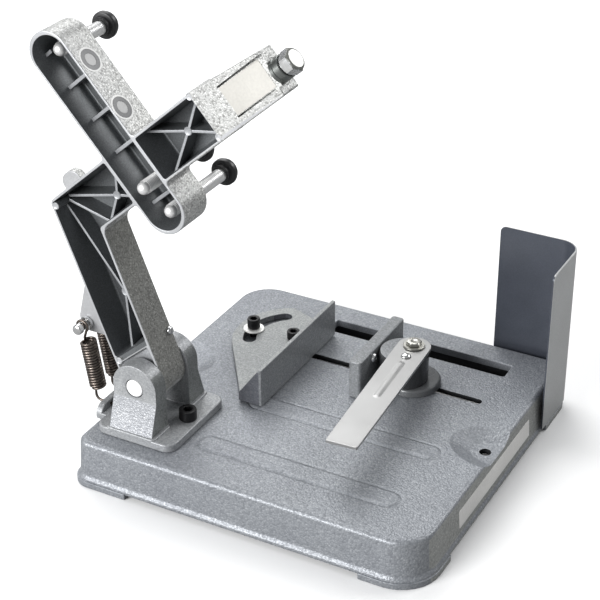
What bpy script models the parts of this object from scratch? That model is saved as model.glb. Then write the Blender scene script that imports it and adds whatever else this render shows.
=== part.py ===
"""Angle grinder stand: a pressed base with a work vise and a sprung swing arm.

Units are metres and +Z is up. X runs from the pivot end towards the operator,
Y runs across the base to the spark guard, and the swing arm turns about Y.
The model is drawn about the centre of the base, with Z = 0 under the feet, and
is then moved so that the origin is under the middle of the whole stand.
"""

import math

import bmesh
import bpy
from mathutils import Matrix, Vector

MM = 0.001

# Clearances
FIT = 0.3 * MM
SPRING_AIR = 0.4 * MM

# Base pan
BASE_LENGTH = 270 * MM
BASE_DEPTH = 261.6 * MM
BASE_HEIGHT = 35.3 * MM
BASE_CORNER = 28 * MM
PIVOT_CORNER = 13 * MM
GUARDED_CORNER = 13 * MM
BASE_WALL = 3 * MM
BASE_TOP_WALL = 4 * MM
BASE_EDGE_ROUND = 3.4 * MM
RIM_CLEAR = 3 * MM
RIM_THICK = 3.6 * MM
RIM_STEP = 1.6 * MM
WALL_DRAFT = 1.6 * MM
FOOT_REACH = 45 * MM
FOOT_WIDTH = 14 * MM
FOOT_STEP = 1.2 * MM
BEAD_WIDTH = 19 * MM
BEAD_SLOPE = 3.5 * MM
BEAD_RISE = 0.9 * MM
BEAD_END = 100 * MM
FRONT_BEAD_START = -56 * MM
FRONT_BEAD_INSET = 43.6 * MM
MIDDLE_BEAD_START = -50 * MM
MIDDLE_BEAD_Y = -25.7 * MM
BOLT_RECESS_REACH = 34 * MM
BOLT_RECESS_HALF = 25.5 * MM
BOLT_RECESS_SINK = 6 * MM
BOLT_HOLE_RADIUS = 4 * MM
BOLT_HOLE_INSET = 12.5 * MM
DISC_SLOT_START = -46 * MM
DISC_SLOT_END = 100 * MM
DISC_SLOT_WIDTH = 17 * MM
DISC_SLOT_INSET = 34.3 * MM
DISC_SLOT_SKIRT = 12 * MM
T_SLOT_START = -39 * MM
T_SLOT_END = 99 * MM
T_SLOT_WIDTH = 6.6 * MM
T_SLOT_Y = 48.5 * MM

# Pivot bracket and pin
BRACKET_MIDDLE = 54.8 * MM
BRACKET_LENGTH = 63 * MM
BRACKET_EDGE = 1.2 * MM
BRACKET_INSET = 10 * MM
BRACKET_PLATE = 5.7 * MM
BRACKET_CORNER = 8 * MM
EAR_WIDTH = 35 * MM
EAR_THICK = 13 * MM
EAR_FLARE = 8 * MM
EAR_FLARE_HEIGHT = 22 * MM
PIN_RADIUS = 6.5 * MM
PIN_INSET = 39 * MM
PIN_ABOVE_BASE = 38.7 * MM
TAB_THICK = 5 * MM
TAB_WIDTH = 46 * MM
TAB_HEIGHT = 10.6 * MM
TAB_CORNER = 8 * MM
TAB_SETBACK = 1.5 * MM
TAB_HOLE_RADIUS = 2.2 * MM
TAB_HOLE_DROP = 3.8 * MM
BRACKET_SCREW_FRONT = 9 * MM
BRACKET_SCREW_REAR = 8 * MM
BRACKET_SHANK = 4 * MM
BRACKET_HEAD_RADIUS = 6.3 * MM
BRACKET_HEAD_HEIGHT = 8 * MM

# Swing arm: a lower leg from the pin, an upper leg, and a tray across it
ARM_DEPTH = 28 * MM
ARM_WALL = 3 * MM
ARM_FLOOR = 3.5 * MM
LEG_LEAN = math.radians(21.6)
LEG_BACK = 19.5 * MM
LEG_FRONT = 15.4 * MM
HUB_SOLID = 17 * MM
UPPER_TILT = math.radians(41.2)
UPPER_HALF = 17.9 * MM
CROSS_AHEAD = 1.2 * MM
CROSS_ABOVE = 158.5 * MM
TRAY_WIDTH = 31.8 * MM
TRAY_RISE = 107.1 * MM
TRAY_DROP = 48.2 * MM
TRAY_SLOT_TOP = -91.1 * MM
TRAY_SLOT_END = 34.5 * MM
END_START = 75 * MM
END_REACH = 132.5 * MM
END_TOP = 12.4 * MM
END_BACK_STEP = 10 * MM
END_WALL = 14 * MM
END_SKIN = 4 * MM
LABEL_SINK = 1.5 * MM
LABEL_START = 97 * MM
TRAY_RIB_FIRST = -94 * MM
TRAY_RIB_PITCH = 25.6 * MM
RIB_THICK = 2 * MM
RIB_HEIGHT = 13 * MM
BOSS_RADIUS = 3 * MM
BOSS_HEIGHT = 13.6 * MM
LEFT_BOSS_ALONG = -34.9 * MM
LEFT_BOSS_DOWN = 5.4 * MM
LEG_BOSS_ALONG = 61.9 * MM
LEG_BOSS_SIDE = 3.2 * MM
HUB_RIB_SIDE = -10.5 * MM
FIN_THICK = 7 * MM
LUG_PLACE = -60 * MM
LUG_WIDTH = 17 * MM
LUG_RISE = 9 * MM

# Grinder supports on the tray
STUD_RADIUS = 4.8 * MM
STUD_NUT_FLATS = 16 * MM
STUD_NUT_HEIGHT = 6 * MM
KNOB_RADIUS = 9.6 * MM
KNOB_LENGTH = 10.5 * MM
KNOB_COLLAR_RADIUS = 6.6 * MM
KNOB_COLLAR = 3 * MM
KNOB_BORE = 7 * MM
UPPER_STUD_PLACE = -91.1 * MM
UPPER_STUD_FRONT = 20.5 * MM
UPPER_STUD_BACK = 36 * MM
MIDDLE_STUD_PLACE = 12.4 * MM
MIDDLE_STUD_FRONT = 33.8 * MM
MIDDLE_STUD_BACK = 42 * MM
LOWER_STUD_PLACE = 34.5 * MM
LOWER_STUD_FRONT = 25.7 * MM
LOWER_STUD_BACK = 47.5 * MM

# Grinder bolt at the end of the arm
GRINDER_BOLT_RADIUS = 4 * MM
GRINDER_BOLT_DROP = 4 * MM
GRINDER_BOLT_BEHIND_FRONT = 9 * MM
GRINDER_HEAD_FLATS = 14.5 * MM
GRINDER_HEAD_HEIGHT = 8 * MM
SPACER_RADIUS = 8.2 * MM
SPACER_LENGTH = 7.5 * MM
GRINDER_BOLT_GRIP = 11 * MM
SPOT_RADIUS = 9.6 * MM
SPOT_SINK = 0.5 * MM

# Return springs between the bracket tab and the post on the arm
SPRING_WIRE_RADIUS = 0.8 * MM
SPRING_COIL_RADIUS = 5.1 * MM
SPRING_TURNS = 16
SPRING_POINTS = 8
SPRING_SPREAD = 10 * MM
SPRING_BACKSET = 10.3 * MM
SPRING_COIL_START = 10.6 * MM
SPRING_LOOP_DROP = 10.5 * MM
POST_RADIUS = 3 * MM
POST_HEAD_RADIUS = 3.9 * MM
POST_HEAD = 1.5 * MM
POST_LENGTH = 35 * MM
POST_ALONG = 43.7 * MM
POST_BEHIND = 20.2 * MM

# Small screw on the front of the lower leg
STOP_ALONG = 24 * MM
STOP_FROM_BACK = 3.1 * MM
STOP_SHANK = 1.5 * MM
STOP_HEAD_RADIUS = 3 * MM
STOP_HEAD = 2.2 * MM

# Fence
FENCE_X = -36.6 * MM
FENCE_START = -32.4 * MM
FENCE_END = 82 * MM
FENCE_RISE = 29.8 * MM
FENCE_WALL = 3 * MM
FENCE_PLATE = 4.3 * MM
FENCE_TOE = 19 * MM
FENCE_PIVOT_X = -58.5 * MM
FENCE_PIVOT_Y = 55.5 * MM
FENCE_SLOT_RADIUS = 33.5 * MM
FENCE_SLOT_FIRST = math.radians(129)
FENCE_SLOT_LAST = math.radians(208)
FENCE_SLOT_WIDTH = 10 * MM
FENCE_SLOT_MARGIN = 8.5 * MM
FENCE_CLAMP_ANGLE = math.radians(183.7)
FENCE_SHANK = 3 * MM
FENCE_HEAD_RADIUS = 4.9 * MM
FENCE_HEAD_HEIGHT = 8 * MM
FENCE_WASHER_RADIUS = 8 * MM
FENCE_WASHER = 1.3 * MM

# Quick vise: base disc, eccentric cam, lever and jaw
VISE_X = 44.5 * MM
CLAMP_DISC_RADIUS = 20.5 * MM
CLAMP_DISC = 5.6 * MM
CAM_RADIUS = 18 * MM
CAM_HEIGHT = 22.8 * MM
CAM_OFFSET = 7 * MM
CAM_ANGLE = math.radians(215)
LEVER_ANGLE = math.radians(-85.7)
LEVER_LENGTH = 135.4 * MM
LEVER_HALF = 11.4 * MM
LEVER_EYE = 12.5 * MM
LEVER_THICK = 2.5 * MM
LEVER_RIB_HALF = 4 * MM
LEVER_RIB_LENGTH = 52 * MM
LEVER_RIB_RISE = 0.9 * MM
RIVET_ALONG = 16 * MM
RIVET_RADIUS = 2 * MM
RIVET_HEAD_RADIUS = 3.6 * MM
RIVET_HEAD = 1.6 * MM
RIVET_DEPTH = 8 * MM
CLAMP_BOLT_RADIUS = 3 * MM
CLAMP_HEAD_FLATS = 10 * MM
CLAMP_HEAD = 2.6 * MM
CLAMP_WASHER_RADIUS = 8 * MM
CLAMP_WASHER = 1.3 * MM
CLAMP_NUT_SIDE = 16 * MM
CLAMP_NUT = 6 * MM
JAW_THICK = 9.7 * MM
JAW_HEIGHT = 29.9 * MM
JAW_BEFORE = 38 * MM
JAW_AFTER = 35.5 * MM
JAW_SCREW_BEFORE = 17.5 * MM
JAW_SCREW_DROP = 6 * MM
JAW_SCREW_RADIUS = 2 * MM
JAW_SCREW_HEAD_RADIUS = 3.6 * MM
JAW_SCREW_HEAD = 2.4 * MM
JAW_SCREW_DEPTH = 5 * MM

# Spark guard
GUARD_THICK = 1.5 * MM
GUARD_TOP = 134 * MM
GUARD_BOTTOM = 7 * MM
GUARD_SIDE = 56 * MM
GUARD_BACK = 62 * MM
GUARD_CORNER = 4.5 * MM
GUARD_SCREW_FIRST = 9 * MM
GUARD_SCREW_PITCH = 19 * MM
GUARD_SCREW_HEIGHT = 18 * MM
GUARD_SHANK = 2.5 * MM
GUARD_HEAD_RADIUS = 4.6 * MM
GUARD_HEAD = 3 * MM
GUARD_BOSS_RADIUS = 6.5 * MM
GUARD_BOSS_DEPTH = 8 * MM
GUARD_NUT_FLATS = 8 * MM
GUARD_NUT = 4 * MM

NUT_HEIGHT = 5.5 * MM
BRACKET_NUT_FLATS = 13 * MM
FENCE_NUT_FLATS = 10 * MM
SCREW_TAIL = 2.5 * MM

# Colour, roughness and metallic value of each finish
HAMMERED = ((0.36, 0.37, 0.37), 0.45, 0.35)
CAST_PAINT = ((0.30, 0.32, 0.32), 0.5, 0.2)
BRIGHT_STEEL = ((0.72, 0.71, 0.68), 0.25, 1.0)
ZINC = ((0.62, 0.62, 0.60), 0.32, 1.0)
BLACK_OXIDE = ((0.02, 0.02, 0.022), 0.4, 0.6)
BLACK_PLASTIC = ((0.012, 0.012, 0.013), 0.45, 0.0)
DARK_CAST = ((0.06, 0.06, 0.06), 0.5, 0.3)
SHEET_PAINT = ((0.40, 0.41, 0.41), 0.5, 0.3)

# Places that follow from the sizes above
BASE_HALF_X = BASE_LENGTH / 2
BASE_HALF_Y = BASE_DEPTH / 2
BASE_UNDER = BASE_HEIGHT - BASE_TOP_WALL
FRONT_BEAD_Y = FRONT_BEAD_INSET - BASE_HALF_Y
DISC_SLOT_Y = BASE_HALF_Y - DISC_SLOT_INSET
SEAT = BASE_HEIGHT + FIT
FENCE_SEAT = BASE_HEIGHT + BEAD_RISE + FIT
GUARD_BEND = GUARDED_CORNER + FIT + GUARD_THICK / 2
BRACKET_Y = BRACKET_MIDDLE - BASE_HALF_Y
BRACKET_TOP = SEAT + BRACKET_PLATE
BRACKET_BACK_X = -BASE_HALF_X + BRACKET_INSET
BRACKET_FRONT_X = BRACKET_BACK_X + BRACKET_LENGTH
PIN_X = -BASE_HALF_X + PIN_INSET
PIN_Z = BASE_HEIGHT + PIN_ABOVE_BASE
ARM_FRONT = BRACKET_Y - ARM_DEPTH / 2
ARM_BACK = BRACKET_Y + ARM_DEPTH / 2
ARM_FLOOR_TOP = ARM_BACK - ARM_FLOOR
EAR_INNER = ARM_DEPTH / 2 + FIT
EAR_OUTER = EAR_INNER + EAR_THICK
TRAY_HALF = TRAY_WIDTH / 2
VISE_TOP = SEAT + CLAMP_DISC + FIT + CAM_HEIGHT + FIT + LEVER_THICK
LEG_UP = Vector((-math.sin(LEG_LEAN), math.cos(LEG_LEAN)))
LEG_SIDE = Vector((math.cos(LEG_LEAN), math.sin(LEG_LEAN)))
UPPER_OUT = Vector((math.cos(UPPER_TILT), math.sin(UPPER_TILT)))
UPPER_DOWN = Vector((math.sin(UPPER_TILT), -math.cos(UPPER_TILT)))
PIN_POINT = Vector((PIN_X, PIN_Z))
CROSS = PIN_POINT + Vector((CROSS_AHEAD, CROSS_ABOVE))


def clear_scene():
    for item in list(bpy.data.objects):
        bpy.data.objects.remove(item, do_unlink=True)
    for group in list(bpy.data.collections):
        bpy.data.collections.remove(group)


def make_collection(name):
    group = bpy.data.collections.new(name)
    bpy.context.scene.collection.children.link(group)
    return group


CASTINGS = ("base_pan", "swing_arm")
BASE_CORNERS = [PIVOT_CORNER, BASE_CORNER, GUARDED_CORNER, BASE_CORNER]

clear_scene()
PARTS = make_collection("angle_grinder_stand")
CUTTERS = make_collection("cutters")


def world_place(carrier):
    """Where an empty stands, with the empties that carry it."""
    place = Vector((0, 0, 0))
    while carrier is not None:
        place += carrier.location
        carrier = carrier.parent
    return place


def add_empty(name, place, parent=None):
    empty = bpy.data.objects.new(name, None)
    PARTS.objects.link(empty)
    empty.empty_display_size = 0.02
    empty.parent = parent
    empty.location = Vector(place) - world_place(parent)
    return empty


def hold(item, carrier):
    """Hang an object on an empty and leave it where it is."""
    item.parent = carrier
    item.matrix_parent_inverse = Matrix.Translation(-world_place(carrier))


def finish_material(name, finish):
    colour, roughness, metallic = finish
    material = bpy.data.materials.new(name + "_finish")
    material.use_nodes = True
    shader = material.node_tree.nodes["Principled BSDF"]
    shader.inputs["Base Color"].default_value = (*colour, 1)
    shader.inputs["Roughness"].default_value = roughness
    shader.inputs["Metallic"].default_value = metallic
    material.diffuse_color = (*colour, 1)
    return material


def make_part(item, carrier, finish):
    """Turn a built shape into a named part of the stand."""
    CUTTERS.objects.unlink(item)
    PARTS.objects.link(item)
    item.data.materials.clear()
    item.data.materials.append(finish_material(item.name, finish))
    item.hide_render = False
    item.display_type = "TEXTURED"
    hold(item, carrier)
    return item


def add_shape(name, data):
    """Every shape starts as a tool; make_part turns some into parts."""
    item = bpy.data.objects.new(name, data)
    CUTTERS.objects.link(item)
    item.hide_render = True
    item.display_type = "WIRE"
    hold(item, STAND)
    return item


def add_mesh(name, model):
    mesh = bpy.data.meshes.new(name)
    bmesh.ops.recalc_face_normals(model, faces=model.faces)
    model.to_mesh(mesh)
    model.free()
    mesh.shade_smooth()
    mesh.set_sharp_from_angle(angle=math.radians(35))
    return add_shape(name, mesh)


def box(name, low, high):
    low = Vector(low)
    high = Vector(high)
    model = bmesh.new()
    bmesh.ops.create_cube(model, size=1)
    bmesh.ops.scale(model, vec=high - low, verts=model.verts)
    bmesh.ops.translate(model, vec=(low + high) / 2, verts=model.verts)
    return add_mesh(name, model)


def cylinder(name, start, end, radius, segments=20, spin=0.0):
    start = Vector(start)
    end = Vector(end)
    axis = end - start
    model = bmesh.new()
    bmesh.ops.create_cone(model, cap_ends=True, segments=segments,
                          radius1=radius, radius2=radius, depth=axis.length)
    turn = axis.to_track_quat("Z", "Y").to_matrix().to_4x4()
    place = Matrix.Translation((start + end) / 2) @ turn @ Matrix.Rotation(spin, 4, "Z")
    bmesh.ops.transform(model, matrix=place, verts=model.verts)
    return add_mesh(name, model)


def hexagon(name, start, end, flats):
    return cylinder(name, start, end, flats / math.sqrt(3), segments=6)


def prism(name, outline, low, high, upright=False):
    """Extrude an outline along Z, or along Y if its points are X and Z."""
    curve = bpy.data.curves.new(name, "CURVE")
    curve.dimensions = "2D"
    curve.fill_mode = "BOTH"
    curve.extrude = (high - low) / 2
    spline = curve.splines.new("POLY")
    spline.points.add(len(outline) - 1)
    for point, (across, up) in zip(spline.points, outline):
        point.co = (across, up, 0, 1)
    spline.use_cyclic_u = True
    drawn = bpy.data.objects.new(name + "_outline", curve)
    CUTTERS.objects.link(drawn)
    mesh = bpy.data.meshes.new_from_object(drawn)
    bpy.data.objects.remove(drawn, do_unlink=True)
    model = bmesh.new()
    model.from_mesh(mesh)
    bpy.data.meshes.remove(mesh)
    bmesh.ops.remove_doubles(model, verts=model.verts, dist=1e-6)
    middle = (low + high) / 2
    if upright:
        place = Matrix.Translation((0, middle, 0)) @ Matrix.Rotation(math.pi / 2, 4, "X")
    else:
        place = Matrix.Translation((0, 0, middle))
    bmesh.ops.transform(model, matrix=place, verts=model.verts)
    return add_mesh(name, model)


def turned(name, profile, place, axis=(0, 0, 1), steps=20, ring=False):
    """Turn a profile of (radius, height) points, listed from top to bottom."""
    mesh = bpy.data.meshes.new(name)
    points = [(radius, 0, height) for radius, height in profile]
    edges = [(index, index + 1) for index in range(len(points) - 1)]
    if ring:
        edges.append((len(points) - 1, 0))
    mesh.from_pydata(points, edges, [])
    item = add_shape(name, mesh)
    item.location = place
    item.rotation_mode = "QUATERNION"
    item.rotation_quaternion = Vector(axis).to_track_quat("Z", "Y")
    turn = item.modifiers.new("Turn", "SCREW")
    turn.steps = steps
    turn.render_steps = steps
    turn.use_merge_vertices = True
    turn.merge_threshold = 0.00001
    return item


def boolean(target, tool, operation):
    """Cut or join a shape; the castings, with many faces in one plane, need the second solver."""
    change = target.modifiers.new(tool.name, "BOOLEAN")
    change.operation = operation
    change.solver = "MANIFOLD" if target.name in CASTINGS else "EXACT"
    change.object = tool


def cut(target, tool):
    boolean(target, tool, "DIFFERENCE")


def join(target, tool):
    boolean(target, tool, "UNION")


def rounded(corners, radii):
    """Outline through the corners, each turned with its own radius."""
    outline = []
    for index, corner in enumerate(corners):
        corner = Vector(corner)
        to_last = (Vector(corners[index - 1]) - corner).normalized()
        to_next = (Vector(corners[(index + 1) % len(corners)]) - corner).normalized()
        radius = radii[index] if isinstance(radii, (list, tuple)) else radii
        if radius <= 0:
            outline.append(corner)
            continue
        half = to_last.angle(to_next) / 2
        centre = corner + (to_last + to_next).normalized() * radius / math.sin(half)
        start = corner + to_last * radius / math.tan(half) - centre
        end = corner + to_next * radius / math.tan(half) - centre
        sweep = math.atan2(start.x * end.y - start.y * end.x, start.dot(end))
        steps = max(1, round(abs(sweep) / math.radians(19)))
        for step in range(steps + 1):
            outline.append(centre + Matrix.Rotation(sweep * step / steps, 2) @ start)
    return outline


def rectangle(low_x, high_x, low_y, high_y):
    return [(low_x, low_y), (high_x, low_y), (high_x, high_y), (low_x, high_y)]


def stadium(start, end, middle, width):
    """Round-ended slot along X, as an outline."""
    half = width / 2
    corners = rectangle(start, end, middle - half, middle + half)
    return rounded(corners, half * 0.98)


def arc(centre, radius, first, last, steps):
    points = []
    for step in range(steps + 1):
        angle = first + (last - first) * step / steps
        points.append(Vector(centre) + radius * Vector((math.cos(angle), math.sin(angle))))
    return points


def lines_meet(point, direction, other, other_direction):
    """Crossing of two lines in the plane."""
    gap = other - point
    across = direction.x * other_direction.y - direction.y * other_direction.x
    along = (gap.x * other_direction.y - gap.y * other_direction.x) / across
    return point + direction * along


def cap_screw(name, place, head_radius, head_height, shank, length, carrier):
    """Socket head screw, with the underside of its head at the place given."""
    edge = 0.6 * MM
    profile = [(0, head_height), (head_radius - edge, head_height),
               (head_radius, head_height - edge), (head_radius, 0), (shank, 0),
               (shank, edge - length), (shank - edge, -length), (0, -length)]
    screw = turned(name, profile, place)
    top = Vector(place) + Vector((0, 0, head_height))
    socket = hexagon(name + "_socket", top - Vector((0, 0, head_height * 0.55)),
                     top + Vector((0, 0, edge)), head_radius)
    cut(screw, socket)
    return make_part(screw, carrier, BLACK_OXIDE)


def washer(name, place, radius, bore, height, carrier):
    """Flat washer that lies above the place given."""
    profile = [(radius, height), (radius, 0), (bore, 0), (bore, height)]
    return make_part(turned(name, profile, place, ring=True), carrier, ZINC)


def hex_nut(name, start, axis, flats, height, bore, carrier, finish=ZINC):
    start = Vector(start)
    axis = Vector(axis)
    nut = hexagon(name, start, start + axis * height, flats)
    hole = cylinder(name + "_hole", start - axis * height, start + axis * height * 2, bore, 16)
    cut(nut, hole)
    return make_part(nut, carrier, finish)


def leg_point(along, across):
    """Point on the lower leg, in X and Z, from the pin up the leg and forwards."""
    return PIN_POINT + LEG_UP * along + LEG_SIDE * across


def upper_point(along, down):
    """Point on the upper leg, in X and Z, from its crossing with the tray."""
    return CROSS + UPPER_OUT * along + UPPER_DOWN * down


def in_space(point, y):
    return Vector((point.x, y, point.y))


def base_ring(inset, height):
    """Rounded rectangle inside the base outline, as points in space."""
    half_x = BASE_HALF_X - inset
    half_y = BASE_HALF_Y - inset
    corners = rectangle(-half_x, half_x, -half_y, half_y)
    ring = rounded(corners, [radius - inset for radius in BASE_CORNERS])
    return [Vector((point.x, point.y, height)) for point in ring]


def loft(name, rings):
    """Closed body through rings that have the same number of points."""
    model = bmesh.new()
    rows = [[model.verts.new(point) for point in ring] for ring in rings]
    for low, high in zip(rows, rows[1:]):
        for index in range(len(low)):
            after = (index + 1) % len(low)
            model.faces.new((low[index], low[after], high[after], high[index]))
    model.faces.new(rows[0])
    model.faces.new(rows[-1])
    return add_mesh(name, model)


# Carriers: one empty for each body that moves, on its joint's axis
STAND = add_empty("stand_origin", (0, 0, 0))
ARM_PIVOT = add_empty("arm_pivot", (PIN_X, BRACKET_Y, PIN_Z), STAND)
FENCE_TURN = add_empty("fence_turn", (FENCE_PIVOT_X, FENCE_PIVOT_Y, FENCE_SEAT), STAND)
VISE_SLIDE = add_empty("vise_slide", (VISE_X, T_SLOT_Y, SEAT), STAND)
LEVER_TURN = add_empty("lever_turn", (VISE_X, T_SLOT_Y, VISE_TOP), VISE_SLIDE)
JAW_SLIDE = add_empty("jaw_slide", (VISE_X, T_SLOT_Y, SEAT), VISE_SLIDE)


def recess_outline(side):
    """Half ellipse open towards one end of the base."""
    outline = []
    for step in range(13):
        angle = math.pi * (step / 12 - 0.5)
        reach = BASE_HALF_X - BOLT_RECESS_REACH * math.cos(angle)
        outline.append((side * reach, side * BOLT_RECESS_HALF * math.sin(angle)))
    beyond = BASE_HALF_X + BOLT_RECESS_REACH
    outline.append((side * beyond, side * BOLT_RECESS_HALF))
    outline.append((side * beyond, -side * BOLT_RECESS_HALF))
    return outline


def foot_outline(side_x, side_y, corner):
    """Angle-shaped foot under the rim at one corner of the base."""
    out_x = BASE_HALF_X + FOOT_STEP
    out_y = BASE_HALF_Y + FOOT_STEP
    end_x = BASE_HALF_X - FOOT_REACH
    end_y = BASE_HALF_Y - FOOT_REACH
    in_x = BASE_HALF_X - FOOT_WIDTH
    in_y = BASE_HALF_Y - FOOT_WIDTH
    corners = [(end_x, out_y), (out_x, out_y), (out_x, end_y), (in_x, end_y), (in_x, in_y), (end_x, in_y)]
    inner = max(corner - FOOT_WIDTH, FOOT_STEP)
    return rounded([(side_x * x, side_y * y) for x, y in corners], [0, corner + FOOT_STEP, 0, 0, inner, 0])


def bead_ring(start, middle, slope, height):
    half = BEAD_WIDTH / 2 - slope
    outline = stadium(start + slope, BEAD_END - slope, middle, 2 * half)
    return [Vector((point.x, point.y, height)) for point in outline]


def fence_clamp_point():
    turn = Vector((math.cos(FENCE_CLAMP_ANGLE), math.sin(FENCE_CLAMP_ANGLE)))
    return Vector((FENCE_PIVOT_X, FENCE_PIVOT_Y)) + turn * FENCE_SLOT_RADIUS


def bracket_screw_places():
    front = BRACKET_FRONT_X - BRACKET_SCREW_FRONT
    rear = BRACKET_BACK_X + BRACKET_SCREW_REAR
    return {"front": Vector((front, BRACKET_Y)), "rear": Vector((rear, BRACKET_Y))}


def guard_screw_places():
    first = BASE_HALF_X - GUARD_BACK + GUARD_SCREW_FIRST
    return {"outer": first, "inner": first + GUARD_SCREW_PITCH}


def build_base():
    rim_top = RIM_CLEAR + RIM_THICK
    rim_inset = RIM_STEP + WALL_DRAFT
    rings = [base_ring(0.8 * MM, RIM_CLEAR), base_ring(0, RIM_CLEAR + 0.8 * MM),
             base_ring(0, rim_top), base_ring(RIM_STEP, rim_top + RIM_STEP)]
    for step in range(4):
        angle = math.radians(30) * step
        inset = rim_inset + BASE_EDGE_ROUND * (1 - math.cos(angle))
        height = BASE_HEIGHT - BASE_EDGE_ROUND * (1 - math.sin(angle))
        rings.append(base_ring(inset, height))
    pan = loft("base_pan", rings)
    inner = RIM_STEP + BASE_WALL
    cavity = loft("base_cavity", [
        base_ring(inner, 0),
        base_ring(inner + WALL_DRAFT, BASE_UNDER - BASE_EDGE_ROUND),
        base_ring(inner + WALL_DRAFT + BASE_EDGE_ROUND / 2, BASE_UNDER)])
    cut(pan, cavity)
    sides = ((-1, -1), (1, -1), (1, 1), (-1, 1))
    for index, (side_x, side_y) in enumerate(sides):
        outline = foot_outline(side_x, side_y, BASE_CORNERS[index])
        join(pan, prism("foot_%d" % index, outline, 0, RIM_CLEAR + RIM_THICK / 2))
    skirt_half = DISC_SLOT_WIDTH / 2 + BASE_WALL
    skirt = box("disc_slot_skirt",
                (DISC_SLOT_START - BASE_WALL, DISC_SLOT_Y - skirt_half, BASE_UNDER - DISC_SLOT_SKIRT),
                (DISC_SLOT_END + BASE_WALL, DISC_SLOT_Y + skirt_half, BASE_UNDER + BASE_TOP_WALL / 2))
    join(pan, skirt)
    for side, end in ((1, "front"), (-1, "rear")):
        outer = BASE_HALF_X - RIM_STEP - WALL_DRAFT - BASE_WALL / 2
        inside = BASE_HALF_X - BOLT_RECESS_REACH - BASE_WALL
        low_x, high_x = sorted((side * inside, side * outer))
        half = BOLT_RECESS_HALF + BASE_WALL
        under = BASE_HEIGHT - BOLT_RECESS_SINK - BASE_TOP_WALL
        pad = box("bolt_pad_" + end, (low_x, -half, under),
                  (high_x, half, BASE_UNDER + BASE_TOP_WALL / 2))
        join(pan, pad)
        recess = prism("bolt_recess_" + end, recess_outline(side),
                       BASE_HEIGHT - BOLT_RECESS_SINK, BASE_HEIGHT + BOLT_RECESS_SINK)
        cut(pan, recess)
        place = Vector((side * (BASE_HALF_X - BOLT_HOLE_INSET), 0, 0))
        cut(pan, cylinder("bolt_hole_" + end, place,
                          place + Vector((0, 0, BASE_HEIGHT)), BOLT_HOLE_RADIUS))
    above = BASE_HEIGHT + BASE_TOP_WALL
    slot_half = DISC_SLOT_WIDTH / 2
    cut(pan, box("disc_slot", (DISC_SLOT_START, DISC_SLOT_Y - slot_half, -BASE_HEIGHT),
                 (DISC_SLOT_END, DISC_SLOT_Y + slot_half, above)))
    cut(pan, prism("t_slot", stadium(T_SLOT_START, T_SLOT_END, T_SLOT_Y, T_SLOT_WIDTH),
                   BASE_UNDER - BASE_TOP_WALL, above))
    for name, start, middle in (("front_bead", FRONT_BEAD_START, FRONT_BEAD_Y),
                                ("middle_bead", MIDDLE_BEAD_START, MIDDLE_BEAD_Y)):
        join(pan, loft(name, [bead_ring(start, middle, 0, BASE_UNDER + BASE_TOP_WALL / 2),
                              bead_ring(start, middle, 0, BASE_HEIGHT),
                              bead_ring(start, middle, BEAD_SLOPE, BASE_HEIGHT + BEAD_RISE)]))
    holes = [(name, place, BRACKET_SHANK) for name, place in bracket_screw_places().items()]
    holes.append(("fence_pivot", Vector((FENCE_PIVOT_X, FENCE_PIVOT_Y)), FENCE_SHANK))
    holes.append(("fence_clamp", fence_clamp_point(), FENCE_SHANK))
    for name, place, shank in holes:
        cut(pan, cylinder(name + "_base_hole", (place.x, place.y, BASE_UNDER - BASE_TOP_WALL),
                          (place.x, place.y, above), shank + FIT))
    for name, x in guard_screw_places().items():
        boss = cylinder("guard_boss_" + name, (x, BASE_HALF_Y - GUARD_BOSS_DEPTH, GUARD_SCREW_HEIGHT),
                        (x, BASE_HALF_Y, GUARD_SCREW_HEIGHT), GUARD_BOSS_RADIUS)
        join(pan, boss)
    for name, x in guard_screw_places().items():
        cut(pan, cylinder("guard_base_hole_" + name,
                          (x, BASE_HALF_Y - GUARD_BOSS_DEPTH * 2, GUARD_SCREW_HEIGHT),
                          (x, BASE_HALF_Y + GUARD_BOSS_DEPTH, GUARD_SCREW_HEIGHT), GUARD_SHANK + FIT))
    return make_part(pan, STAND, HAMMERED)


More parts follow.
